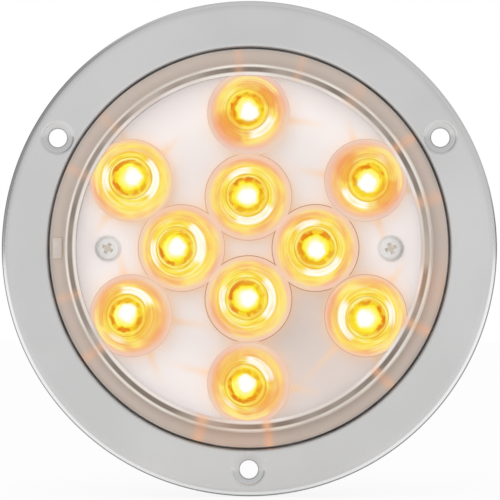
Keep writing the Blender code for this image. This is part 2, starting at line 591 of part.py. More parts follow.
def make_terminals(unit):
    """Three pins from the driver board to the receptacle, and the resin that seals them in the floor."""
    tin = finish("tinned_brass", (0.72, 0.70, 0.64), 0.25, 1.0)
    resin = finish("potting_resin", (0.05, 0.05, 0.06), 0.35)
    radius = PIN_DIAMETER / 2
    outline = [(0.0, PARTS_Y), (PIN_FOOT_RADIUS, PARTS_Y), (PIN_FOOT_RADIUS, PARTS_Y + PIN_FOOT)]
    outline += [(radius, PARTS_Y + PIN_FOOT), (radius, PIN_TIP_Y - PIN_TIP)]
    outline += [(radius - PIN_TIP, PIN_TIP_Y), (0.0, PIN_TIP_Y)]
    places = (-PIN_PITCH, 0.0, PIN_PITCH)
    pin = turned(outline, SMALL_STEPS, closed=False)
    first = piece("terminal_pin_1", pin, tin, unit, (places[0], 0.0, 0.0))
    for number, x in enumerate(places[1:], start=2):
        copy_of(f"terminal_pin_{number}", first.data, unit=unit, place=(x, 0.0, 0.0))
    back = FLOOR_Y - CLEARANCE
    front = FLOOR_Y - WELL_HEIGHT + POTTING_DROP
    fill = rod(WELL_RADIUS - CLEARANCE, front, back, SMALL_STEPS * 2)
    potting = piece("terminal_potting", fill, resin, unit)
    for x in places:
        hole = rod(radius + CLEARANCE, front - SINK, back + SINK)
        combine(potting, "DIFFERENCE", hole, (x, 0.0, 0.0))


def main():
    clear_scene()
    flange_unit = group("flange_unit")
    lamp_unit = group("lamp_unit")
    make_flange(flange_unit)
    make_seat_ring(flange_unit)
    make_clips(flange_unit)
    make_housing(lamp_unit)
    make_lens(lamp_unit)
    make_led_board(lamp_unit)
    make_optics(lamp_unit)
    make_emitters(lamp_unit)
    make_board_fixings(lamp_unit)
    make_driver(lamp_unit)
    make_terminals(lamp_unit)


main()
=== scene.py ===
"""Fine surfaces, finishes and a studio stage for a round flange-mounted LED warning lamp.

The lamp's axis is Y and its lens faces -Y, so the front of a piece has the lower level. Sizes are in
metres, and a name that ends in _mm is in millimetres.
"""

import math

import bmesh
import bpy
import numpy as np
from bpy.props import FloatProperty, FloatVectorProperty, PointerProperty
from bpy.types import Operator, Panel, PropertyGroup
from mathutils import Matrix, Vector


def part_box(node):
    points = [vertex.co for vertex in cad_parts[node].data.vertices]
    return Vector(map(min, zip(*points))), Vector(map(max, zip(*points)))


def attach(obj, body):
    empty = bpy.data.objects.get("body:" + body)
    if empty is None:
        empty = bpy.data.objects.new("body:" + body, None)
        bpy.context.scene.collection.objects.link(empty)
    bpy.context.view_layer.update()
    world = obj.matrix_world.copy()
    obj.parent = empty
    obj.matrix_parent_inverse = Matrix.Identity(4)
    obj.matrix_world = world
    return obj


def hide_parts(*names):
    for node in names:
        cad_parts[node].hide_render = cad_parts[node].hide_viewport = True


bl_info = {
    "name": "Round Warning Lamp",
    "version": (1, 0, 0),
    "blender": (4, 5, 0),
    "location": "View3D > Sidebar > Lamp",
    "description": "Dresses a flange-mounted LED warning lamp and sets it in a plain studio",
    "category": "Add Mesh",
}

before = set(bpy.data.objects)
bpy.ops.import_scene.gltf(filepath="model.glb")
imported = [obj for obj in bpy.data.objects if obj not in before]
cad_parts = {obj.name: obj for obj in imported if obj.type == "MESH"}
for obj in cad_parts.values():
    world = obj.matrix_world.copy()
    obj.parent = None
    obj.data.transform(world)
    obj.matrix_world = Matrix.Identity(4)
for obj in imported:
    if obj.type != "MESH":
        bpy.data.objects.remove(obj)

FLANGE_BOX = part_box("mounting_flange")
SEAT_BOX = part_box("seat_ring")
LENS_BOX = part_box("lens")
HOUSING_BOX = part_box("rear_housing")
BOARD_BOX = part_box("led_board")
OPTIC_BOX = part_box("optic_01")
OPTIC_HALF = (OPTIC_BOX[1].x - OPTIC_BOX[0].x) / 2
SCREW_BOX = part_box("board_screw_right")
WASHER_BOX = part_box("board_washer_right")
PIN_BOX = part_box("terminal_pin_2")

# Facets round large turned pieces, those with painted light, middling and small ones, and along a corner
LARGE_TURN = 240
FINE_TURN = 360
OPTIC_TURN = 72
SMALL_TURN = 48
CORNER_STEPS = 6
HOLE_DEGREES = (30, 150, 270)
CLIP_DEGREES = (90, 210, 330)
OPTIC_COUNT = 10
OUTER_COUNT = 6
OPTIC_REACH_MM = 12.0


def linear(code):
    """Turn an sRGB hex colour into linear light, with full alpha."""
    shades = [int(code[i:i + 2], 16) / 255 for i in (1, 3, 5)]
    return (*[s / 12.92 if s <= 0.04045 else ((s + 0.055) / 1.055) ** 2.4 for s in shades], 1.0)


def length(name, description, default):
    """A size in metres that the sidebar shows."""
    return FloatProperty(name=name, description=description, default=default, unit="LENGTH", precision=5)


def tint(name, description, code):
    """A colour that the sidebar shows, from its sRGB hex value."""
    return FloatVectorProperty(name=name, description=description, default=linear(code), size=4,
                               subtype="COLOR", min=0.0, max=1.0)


class FlangeSizes(PropertyGroup):
    radius: length("Radius", "Outer radius of the flange", FLANGE_BOX[1].x)
    face: length("Face", "Level of the flange's flat front", FLANGE_BOX[0].y)
    sheet: length("Sheet", "Thickness of the flange's sheet", 0.0012)
    rim_roll: length("Rim Roll", "Radius of the rolled outer rim", 0.0028)
    mouth_radius: length("Mouth", "Radius of the opening for the lamp", SEAT_BOX[1].x - 0.00013)
    mouth_roll: length("Mouth Roll", "Radius of the bend into the opening", 0.0013)
    ledge_level: length("Ledge", "Level of the ledge that carries the seat ring", SEAT_BOX[1].y + 0.0003)
    ledge_radius: length("Ledge Radius", "Inner radius of the ledge", 0.053009)
    hole_circle: length("Hole Circle", "Radius of the circle of screw holes", 0.062209)
    hole_radius: length("Hole", "Radius of a screw hole", 0.0026)
    dimple_radius: length("Dimple", "Radius of the dimple round a screw hole", 0.0046)
    dimple_depth: length("Dimple Depth", "How far a dimple is pressed in", 0.0008)


class LensSizes(PropertyGroup):
    lip_radius: length("Lip", "Outer radius of the lip", LENS_BOX[1].x + 0.00051)
    lip_front: length("Lip Front", "Level of the lip's front", -0.0051)
    lip_back: length("Lip Back", "Level of the lip's back", LENS_BOX[1].y)
    dome_radius: length("Dome", "Outer radius of the proud window", 0.051409)
    bore_radius: length("Bore", "Inner radius of the cap", BOARD_BOX[1].x + 0.0004)
    front: length("Front", "Level of the window's crown", LENS_BOX[0].y)
    thickness: length("Thickness", "Thickness of the window", 0.0020)
    crown: length("Crown", "How far the window bulges", 0.0004)
    corner: length("Corner", "Radius of the window's outer edge", 0.0014)
    root: length("Root", "Radius between the wall and the lip", 0.0006)
    key_length: length("Key Length", "Length of the key on the lip", 0.0059)
    key_width: length("Key Width", "Width of the key across the lip", 0.0026)
    key_height: length("Key Height", "How far the key stands off the lip", 0.0004)


class OpticSizes(PropertyGroup):
    radius: length("Radius", "Outer radius of a collimator on the ring", OPTIC_HALF + 0.00025)
    broad_radius: length("Broad Radius", "Outer radius of a collimator inside the ring", OPTIC_HALF + 0.0009)
    height: length("Height", "Height of a collimator", OPTIC_BOX[1].y - OPTIC_BOX[0].y)
    rim: length("Rim", "Thickness of a collimator's rim", 0.0014)
    well_radius: length("Well", "Radius of the well in a collimator's front", 0.0045)
    well_depth: length("Well Depth", "Depth of that well", 0.0030)
    well_crown: length("Well Crown", "Bulge of the lens in the well", 0.0009)
    foot_radius: length("Foot", "Outer radius of a collimator's foot", 0.00457)
    bore_radius: length("Bore", "Radius of the space over a diode", 0.00337)
    bore_depth: length("Bore Depth", "Depth of the space over a diode", 0.0042)


class HousingSizes(PropertyGroup):
    radius: length("Radius", "Outer radius of the housing's front", 0.052209)
    back_radius: length("Back", "Outer radius of the housing's back", 0.050809)
    bore_radius: length("Bore", "Inner radius of the housing's front", BOARD_BOX[1].x + 0.0004)
    shelf_radius: length("Shelf", "Inner radius behind the board's shelf", 0.048209)
    rim_level: length("Rim Level", "Level of the front rim", HOUSING_BOX[0].y)
    shelf_level: length("Shelf Level", "Level of the shelf that carries the board", BOARD_BOX[1].y + 0.0003)
    shoulder_level: length("Shoulder", "Level of the step in the outside", 0.0090)
    floor_level: length("Floor", "Level of the inside of the back", 0.0170)
    back_level: length("Back Level", "Level of the outside of the back", 0.0194)
    socket_level: length("Socket", "Level of the receptacle's mouth", HOUSING_BOX[1].y)
    socket_width: length("Socket Width", "Inner width of the receptacle", 0.0260)
    socket_height: length("Socket Height", "Inner height of the receptacle", 0.0120)
    socket_wall: length("Socket Wall", "Wall of the receptacle", 0.0020)
    socket_corner: length("Socket Corner", "Inner corner radius of the receptacle", 0.0030)
    slot_width: length("Slot", "Width of the keying slot in the receptacle", 0.0034)
    pin_pitch: length("Pin Pitch", "Distance from pin to pin", 0.0080)


class Finishes(PropertyGroup):
    steel: tint("Steel", "Satin stainless sheet", "#D8D8D8")
    # Painted highlight: the rim's roll is painted paler than the sheet
    rim_highlight: tint("Rim Highlight", "Bright roll of the flange's rim", "#F6F6F6")
    # Painted shade: the thin dark line round the rim's outer edge
    rim_edge_shade: tint("Skirt", "Painted dark edge of the flange's rim", "#78787A")
    rubber: tint("Rubber", "Black rubber of the seat ring", "#747474")
    housing: tint("Housing", "Black moulded housing", "#1C1C1E")
    board: tint("Board", "White solder mask", "#EAE5E8")
    spill: tint("Spill", "Amber light that the diodes spill on pale pieces", "#F2CBA6")
    # Painted reflection: the dark housing seen in the clear wall
    lens_wall_reflection: tint("Lens Rim", "Clear wall of the lens where it is seen edge-on", "#7E7268")
    # Painted highlight at the root of the lens wall
    lens_root_highlight: tint("Lens Line", "Bright root of the lens wall", "#F4ECE2")
    lens_lip: tint("Lens Lip", "Clear lip over the grey ledge", "#C3B5AB")
    core: tint("Core", "Centre of a lit diode", "#FFFFFF")
    amber: tint("Amber", "Lit field of a collimator", "#FBE24E")
    ember: tint("Ember", "Deep ring round the diode", "#E07E0C")
    blush: tint("Blush", "Unlit rim of a collimator", "#F2CCB6")
    glint: tint("Glint", "Amber light that leaves through the lens lip", "#FDBE90")


class StageSettings(PropertyGroup):
    azimuth: FloatProperty(name="Azimuth", description="Camera's turn to the right of the axis",
                           default=math.radians(1.3), subtype="ANGLE")
    elevation: FloatProperty(name="Elevation", description="Camera's rise above the axis",
                             default=math.radians(-0.8), subtype="ANGLE")
    distance: length("Distance", "Camera's distance from the flange", 0.90)
    view_width: length("View Width", "Width of the picture at the flange", 0.1406)
    key_power: FloatProperty(name="Key", description="Power of the key light in watts", default=1.4)
    ambient: FloatProperty(name="Ambient", description="Strength of the surrounding light", default=0.86)


class Lamp(PropertyGroup):
    flange: PointerProperty(type=FlangeSizes, name="Flange", description="Sizes of the mounting flange")
    lens: PointerProperty(type=LensSizes, name="Lens", description="Sizes of the lens")
    optic: PointerProperty(type=OpticSizes, name="Optic", description="Sizes of a collimator")
    housing: PointerProperty(type=HousingSizes, name="Housing", description="Sizes of the rear housing")
    finish: PointerProperty(type=Finishes, name="Finishes", description="Colours of the pieces")
    stage: PointerProperty(type=StageSettings, name="Stage", description="Camera and light")


def around(count):
    """Even angles round the axis."""
    return [math.tau * i / count for i in range(count)]


def on_circle(radius, degrees):
    """The x and z of a point at an angle counted from +X towards +Z."""
    return radius * math.cos(math.radians(degrees)), radius * math.sin(math.radians(degrees))


def arc(centre, radius, start, end, count=CORNER_STEPS):
    """Points on an arc in the (radius, level) plane, by angles in degrees from outwards to the back."""
    angles = [math.radians(start + (end - start) * i / count) for i in range(count + 1)]
    return [(centre[0] + radius * math.cos(a), centre[1] + radius * math.sin(a)) for a in angles]


def rounded(corners, closed=True):
    """An outline whose corners, each an (across, along, fillet) triple, are rounded off."""
    outline = []
    for i, (across, along, fillet) in enumerate(corners):
        if fillet == 0 or (not closed and i in (0, len(corners) - 1)):
            outline.append((across, along))
            continue
        here = Vector((across, along))
        back = (Vector(corners[i - 1][:2]) - here).normalized()
        ahead = (Vector(corners[(i + 1) % len(corners)][:2]) - here).normalized()
        half = back.angle(ahead) / 2
        centre = here + (back + ahead).normalized() * fillet / math.sin(half)
        first = here + back * fillet / math.tan(half) - centre
        last = here + ahead * fillet / math.tan(half) - centre
        start = math.degrees(math.atan2(first.y, first.x))
        sweep = (math.degrees(math.atan2(last.y, last.x)) - start + 180) % 360 - 180
        outline += arc(centre, fillet, start, start + sweep)
    return outline


def turned(outline, angles, closed=True):
    """A solid of revolution about Y through (radius, level) points, with a facet between angles."""
    bm = bmesh.new()
    rings = []
    for radius, level in outline:
        if radius == 0:
            rings.append([bm.verts.new((0.0, level, 0.0))] * len(angles))
        else:
            rings.append([bm.verts.new((radius * math.cos(a), level, radius * math.sin(a))) for a in angles])
    following = rings[1:] + rings[:1] if closed else rings[1:]
    for near, far in zip(rings, following):
        for i in range(len(angles)):
            corners = dict.fromkeys((near[i - 1], near[i], far[i], far[i - 1]))
            if len(corners) > 2:
                bm.faces.new(corners)
    bmesh.ops.recalc_face_normals(bm, faces=bm.faces)
    return bm


def lofted(rings):
    """A solid through like rings of points, closed by a flat face at each end."""
    bm = bmesh.new()
    loops = [[bm.verts.new(point) for point in ring] for ring in rings]
    for near, far in zip(loops, loops[1:]):
        for i in range(len(near)):
            bm.faces.new((near[i - 1], near[i], far[i], far[i - 1]))
    bm.faces.new(loops[0])
    bm.faces.new(loops[-1])
    bmesh.ops.recalc_face_normals(bm, faces=bm.faces)
    return bm


def rod(radius, front, back, place=(0.0, 0.0), steps=SMALL_TURN):
    """A plain round bar along Y, at an x and z."""
    ring = [(place[0] + radius * math.cos(a), place[1] + radius * math.sin(a)) for a in around(steps)]
    return lofted([[(x, level, z) for x, z in ring] for level in (front, back)])


def oblong(width, height, corner, level):
    """A rounded rectangle of points at one level."""
    half, rise = width / 2, height / 2
    corners = [(half, rise, corner), (-half, rise, corner), (-half, -rise, corner), (half, -rise, corner)]
    return [(x, level, z) for x, z in rounded(corners)]


def soft_block(size, centre, edge):
    """A box whose edges are rounded off."""
    bm = bmesh.new()
    bmesh.ops.create_cube(bm, size=1.0)
    bmesh.ops.scale(bm, vec=Vector(size), verts=bm.verts)
    bmesh.ops.bevel(bm, geom=bm.edges[:], offset=edge, segments=3, profile=0.5, affect="EDGES")
    bmesh.ops.translate(bm, vec=Vector(centre), verts=bm.verts)
    return bm


def gathered(shapes):
    """Several separate solids in one mesh."""
    whole = bmesh.new()
    for shape in shapes:
        mesh = bpy.data.meshes.new("gathered")
        shape.to_mesh(mesh)
        shape.free()
        whole.from_mesh(mesh)
        bpy.data.meshes.remove(mesh)
    return whole


def combined(base, *steps):
    """Join shapes to a solid or cut them from it, each step an operation and a shape."""
    made = []
    for shape in (base, *[shape for operation, shape in steps]):
        mesh = bpy.data.meshes.new("combined")
        shape.to_mesh(mesh)
        shape.free()
        for slot in range(2):
            mesh.materials.append(None)
        made.append(bpy.data.objects.new("combined", mesh))
        bpy.context.scene.collection.objects.link(made[-1])
    for (operation, shape), tool in zip(steps, made[1:]):
        change = made[0].modifiers.new(operation, "BOOLEAN")
        change.operation = operation
        change.solver = "EXACT"
        change.object = tool
    bpy.context.view_layer.update()
    shown = made[0].evaluated_get(bpy.context.evaluated_depsgraph_get())
    result = bmesh.new()
    result.from_mesh(shown.to_mesh())
    shown.to_mesh_clear()
    # The cuts leave points that lie almost together, and faces with no area between them.
    bmesh.ops.remove_doubles(result, verts=result.verts, dist=0.000002)
    bmesh.ops.dissolve_degenerate(result, edges=result.edges, dist=0.000001)
    for old in made:
        mesh = old.data
        bpy.data.objects.remove(old, do_unlink=True)
        bpy.data.meshes.remove(mesh)
    return result


def settle(name, bm, finish, body, nodes, place=(0.0, 0.0, 0.0), turn=0.0, sharp=35.0):
    """Make a piece of a mesh, in its finish, that stands for solids of a body and moves with it."""
    mesh = bpy.data.meshes.new(name)
    bm.to_mesh(mesh)
    bm.free()
    for one in finish if isinstance(finish, list) else [finish]:
        mesh.materials.append(one)
    mesh.shade_smooth()
    mesh.set_sharp_from_angle(angle=math.radians(sharp))
    made = bpy.data.objects.new(name, mesh)
    bpy.context.scene.collection.objects.link(made)
    made.location = place
    made.rotation_euler = (0.0, -turn, 0.0)
    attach(made, body)
    if nodes:
        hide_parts(*nodes)
    return made


def coat_solids(nodes, finish):
    """Give solids that stay as they are a finish and smooth rounds."""
    for name in nodes:
        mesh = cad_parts[name].data
        mesh.materials.clear()
        mesh.materials.append(finish)
        mesh.shade_smooth()
        mesh.set_sharp_from_angle(angle=math.radians(35.0))


# How a range eases in and out
SOFT = {"interpolation_type": "SMOOTHSTEP"}


def colour_of(shade):
    """A linear colour from an sRGB hex value, a grey level or a colour that the sidebar shows."""
    if isinstance(shade, str):
        return linear(shade)
    return (shade, shade, shade, 1.0) if isinstance(shade, float) else tuple(shade)


def add_node(tree, kind, sockets=(), stops=(), **settings):
    """Add a shader node with its settings and ramp stops, and fill its sockets with values or links.

    Sockets come by name, or else in the order of those in use. A node stands for its first output in use.
    """
    made = tree.nodes.new("ShaderNode" + kind)
    for setting, value in settings.items():
        setattr(made, setting, value)
    for number, (position, shade) in enumerate(stops):
        ramp = made.color_ramp.elements
        stop = ramp[number] if number < len(ramp) else ramp.new(position)
        stop.position = position
        stop.color = colour_of(shade)
    if isinstance(sockets, dict):
        filled = [(made.inputs[name], value) for name, value in sockets.items()]
    else:
        filled = zip([socket for socket in made.inputs if socket.enabled], sockets)
    for socket, value in filled:
        if isinstance(value, bpy.types.Node):
            value = next(output for output in value.outputs if output.enabled)
        if isinstance(value, bpy.types.NodeSocket):
            tree.links.new(value, socket)
        else:
            socket.default_value = value
    return made


def new_finish(name):
    """An empty material, with its node tree."""
    made = bpy.data.materials.new(name)
    made.use_nodes = True
    made.node_tree.nodes.clear()
    return made, made.node_tree


def per_mm(size_mm):
    """The scale at which a pattern has one cell in a size in millimetres."""
    return 1000.0 / size_mm


def from_axis(tree, where):
    """A place pressed flat along the lamp's axis, and its distance from the axis."""
    flat = add_node(tree, "VectorMath", (where, (1.0, 0.0, 1.0)), operation="MULTIPLY")
    return flat, add_node(tree, "VectorMath", (flat,), operation="LENGTH")


def grained(name, colour, roughness, metallic, speck_mm, relief_mm, mottle, **extra):
    """A surface with an even grain: specks of one size that shift its colour, gloss and height a little."""
    made, tree = new_finish(name)
    where = add_node(tree, "TexCoord").outputs["Object"]
    specks = add_node(tree, "TexNoise", {"Vector": where, "Scale": per_mm(speck_mm), "Detail": 4.0,
                                         "Roughness": 0.6})
    dark = tuple(channel * (1.0 - mottle) for channel in colour[:3]) + (1.0,)
    light = tuple(min(1.0, channel * (1.0 + mottle)) for channel in colour[:3]) + (1.0,)
    shade = add_node(tree, "ValToRGB", (specks,), ((0.3, dark), (0.7, light)))
    gloss = add_node(tree, "MapRange", (specks, 0.3, 0.7, roughness - 0.06, roughness + 0.06))
    height = add_node(tree, "Bump", {"Height": specks, "Strength": 0.5, "Distance": relief_mm / 1000.0})
    shader = add_node(tree, "BsdfPrincipled", {"Base Color": shade, "Metallic": metallic, "Roughness": gloss,
                                               "Normal": height, **extra})
    add_node(tree, "OutputMaterial", {"Surface": shader})
    return made


def satin_stainless(finish, size):
    """Stainless sheet, stamped and satin polished."""
    # A fine even satin grain spreads the white studio into a flat pale grey. The press burnished the dimples
    # and the rim's roll, so they are glossier and draw bright and dark lines, and the roll is also painted
    # paler, a painted highlight. The turned-back outer edge ends in a thin dark line of painted shade that fades
    # out at the top, and each punched hole has a thin ring of painted shade. The seat of each dimple is painted
    # a little darker, as painted shade. The real grain is finer than the render shows.
    made, tree = new_finish("stainless steel sheet, stamped and satin polished")
    where = add_node(tree, "TexCoord").outputs["Object"]
    grain = add_node(tree, "TexNoise", {"Vector": where, "Scale": per_mm(0.6), "Detail": 5.0,
                                        "Roughness": 0.65})
    cloud = add_node(tree, "TexNoise", {"Vector": where, "Scale": per_mm(38.0), "Detail": 2.0})
    flat, far = from_axis(tree, where)
    rim, dimple, hole = size.radius, size.dimple_radius, size.hole_radius
    roll = add_node(tree, "MapRange", (far, rim - 0.0015, rim - 0.0010), **SOFT)
    edge = add_node(tree, "MapRange", (far, rim - 0.00050, rim - 0.00030), **SOFT)
    near = far
    for degrees in HOLE_DEGREES:
        x, z = on_circle(size.hole_circle, degrees)
        apart = add_node(tree, "VectorMath", (flat, (x, 0.0, z)), operation="DISTANCE")
        near = add_node(tree, "Math", (near, apart), operation="MINIMUM")
    pressed = add_node(tree, "MapRange", (near, dimple, dimple + 0.0006, 1.0, 0.0), **SOFT)
    # Painted shade: the seat of each dimple is painted a little darker
    seat = add_node(tree, "MapRange", (near, dimple - 0.0011, dimple - 0.0003, 1.0, 0.0), **SOFT)
    # Painted shade: a thin dark ring round each hole
    punched = add_node(tree, "MapRange", (near, hole + 0.00012, hole + 0.0004, 0.6, 0.0), **SOFT)
    polished = add_node(tree, "Math", (roll, pressed), operation="MAXIMUM")
    # Painted shade: a thin dark line round the rim's outer edge, fainter towards the top
    rise = add_node(tree, "VectorMath", (where, (0.34, 0.0, 0.94)), operation="DOT_PRODUCT")
    shade_below_top = add_node(tree, "MapRange", (rise, 0.028, 0.046, 1.0, 0.15), **SOFT)
    rim_edge_shade = add_node(tree, "Math", (edge, shade_below_top), operation="MULTIPLY")
    shade = add_node(tree, "MapRange", (cloud, 0.3, 0.7, 0.94, 1.04))
    # Painted shade in the dimples' seats, on a random cloud of tone
    seat_shade_and_cloud = add_node(tree, "Math", (seat, -0.1, shade), operation="MULTIPLY_ADD")
    sheet = add_node(tree, "VectorMath", (finish.steel[:3], seat_shade_and_cloud), operation="SCALE")
    # Painted highlight: the rim's roll is painted paler than the sheet
    bright = add_node(tree, "Mix", (roll, sheet, finish.rim_highlight), data_type="RGBA")
    painted_dark_edges = add_node(tree, "Math", (rim_edge_shade, punched), operation="MAXIMUM")
    colour = add_node(tree, "Mix", (painted_dark_edges, bright, finish.rim_edge_shade), data_type="RGBA")
    gloss = add_node(tree, "MapRange", (grain, 0.3, 0.7, 0.34, 0.46))
    smooth = add_node(tree, "Math", (polished, -0.2, gloss), operation="MULTIPLY_ADD")
    height = add_node(tree, "Bump", {"Height": grain, "Strength": 0.25, "Distance": 0.00002})
    shader = add_node(tree, "BsdfPrincipled", {"Base Color": colour, "Metallic": 1.0, "Roughness": smooth,
                                               "Normal": height})
    add_node(tree, "OutputMaterial", {"Surface": shader})
    return made


def clear_sheet(name, tone, slant):
    """Polycarbonate, moulded between polished faces, by its name, what it lets through and its sheen."""
    # Thin and clear: the eye sees straight through it, with a sheen at a slant.
    made, tree = new_finish(name)
    sheen = add_node(tree, "LayerWeight", {"Blend": slant}).outputs["Facing"]
    through = add_node(tree, "BsdfTransparent", {"Color": linear(tone)})
    gloss = add_node(tree, "BsdfGlossy", {"Roughness": 0.06})
    whole = add_node(tree, "MixShader", (sheen, through, gloss))
    add_node(tree, "OutputMaterial", {"Surface": whole})
    return made


def clear_edge(finish, lens):
    """Polycarbonate, moulded thick, at the cap's wall and lip."""
    # Seen edge-on the clear wall gathers the dark inside of the housing, drawn as a painted reflection that
    # breaks paler in patches; its root draws a bright line, a painted highlight, and a pale painted highlight
    # lies just inside the bore. The lip shows the ledge below it as a warm grey. The colours follow the distance
    # from the axis.
    made, tree = new_finish("polycarbonate, moulded thick and polished")
    where = add_node(tree, "TexCoord").outputs["Object"]
    flat, far = from_axis(tree, where)
    inner, outer = lens.bore_radius - 0.0016, lens.lip_radius
    across = add_node(tree, "MapRange", (far, inner, outer))
    rim, line, lip = finish.lens_wall_reflection, finish.lens_root_highlight, finish.lens_lip
    # Painted highlights inside the bore and at the wall's root, with the painted reflection between them
    places_mm = ((48.55, "#E9E1DB"), (49.05, "#EBE3DD"), (49.45, rim), (50.45, rim), (50.90, line),
                 (51.65, line), (52.00, lip), (53.90, "#C9BAB0"), (54.90, lip), (55.60, "#B2A69E"))
    bands = add_node(tree, "ValToRGB", (across,),
                     [((mm / 1000.0 - inner) / (outer - inner), shade) for mm, shade in places_mm])
    drift = add_node(tree, "TexNoise", {"Vector": where, "Scale": per_mm(18.0), "Detail": 2.0})
    thin = add_node(tree, "MapRange", (drift, 0.42, 0.66, 0.0, 0.7))
    broken = add_node(tree, "Mix", (thin, bands, linear("#C6B9AF")), data_type="RGBA")
    spill = add_node(tree, "Attribute", attribute_name="spill").outputs["Fac"]
    colour = add_node(tree, "Mix", (spill, broken, finish.glint), data_type="RGBA")
    flow = add_node(tree, "TexNoise", {"Vector": where, "Scale": per_mm(7.0), "Detail": 2.0})
    gloss = add_node(tree, "MapRange", (flow, 0.0, 1.0, 0.12, 0.24))
    shader = add_node(tree, "BsdfPrincipled", {"Base Color": colour, "Roughness": gloss, "IOR": 1.35})
    add_node(tree, "OutputMaterial", {"Surface": shader})
    return made


def white_mask(finish):
    """White solder mask, screened on a metal-core board."""
    # A near-white satin film, with painted shade that makes it a little darker and warmer towards the lower
    # right, and amber light spilled on it. A painted glow stands for the diodes' stray light, most of it
    # mirrored in the lens wall, and keeps the board bright out to its edge.
    made, tree = new_finish("white solder mask, screened and cured on aluminium")
    where = add_node(tree, "TexCoord").outputs["Object"]
    # Painted shade: darker and warmer towards the lower right
    aside = add_node(tree, "VectorMath", (where, (0.020, 0.0, -0.027)), operation="DISTANCE")
    warm = add_node(tree, "MapRange", (aside, 0.006, 0.036, 1.0, 0.0), **SOFT)
    film = add_node(tree, "TexNoise", {"Vector": where, "Scale": per_mm(0.5), "Detail": 3.0})
    base = add_node(tree, "Mix", (warm, finish.board, linear("#D5CBC9")), data_type="RGBA")
    spill = add_node(tree, "Attribute", attribute_name="spill").outputs["Fac"]
    colour = add_node(tree, "Mix", (spill, base, finish.spill), data_type="RGBA")
    gloss = add_node(tree, "MapRange", (film, 0.0, 1.0, 0.38, 0.52))
    height = add_node(tree, "Bump", {"Height": film, "Strength": 0.2, "Distance": 0.00001})
    flat, far = from_axis(tree, where)
    # Painted light: the board glows, most at its edge, for the diodes' stray light
    stray = add_node(tree, "MapRange", (far, 0.026, 0.049, 0.06, 0.34), **SOFT)
    shader = add_node(tree, "BsdfPrincipled", {"Base Color": colour, "Roughness": gloss, "Normal": height,
                                               "IOR": 1.35, "Emission Color": colour,
                                               "Emission Strength": stray})
    add_node(tree, "OutputMaterial", {"Surface": shader})
    return made


def reach_stops(*places):
    """Ramp stops across a collimator, each by its distance in millimetres and the colour or grey there."""
    return [(reach_mm / OPTIC_REACH_MM, shade) for reach_mm, shade in places]


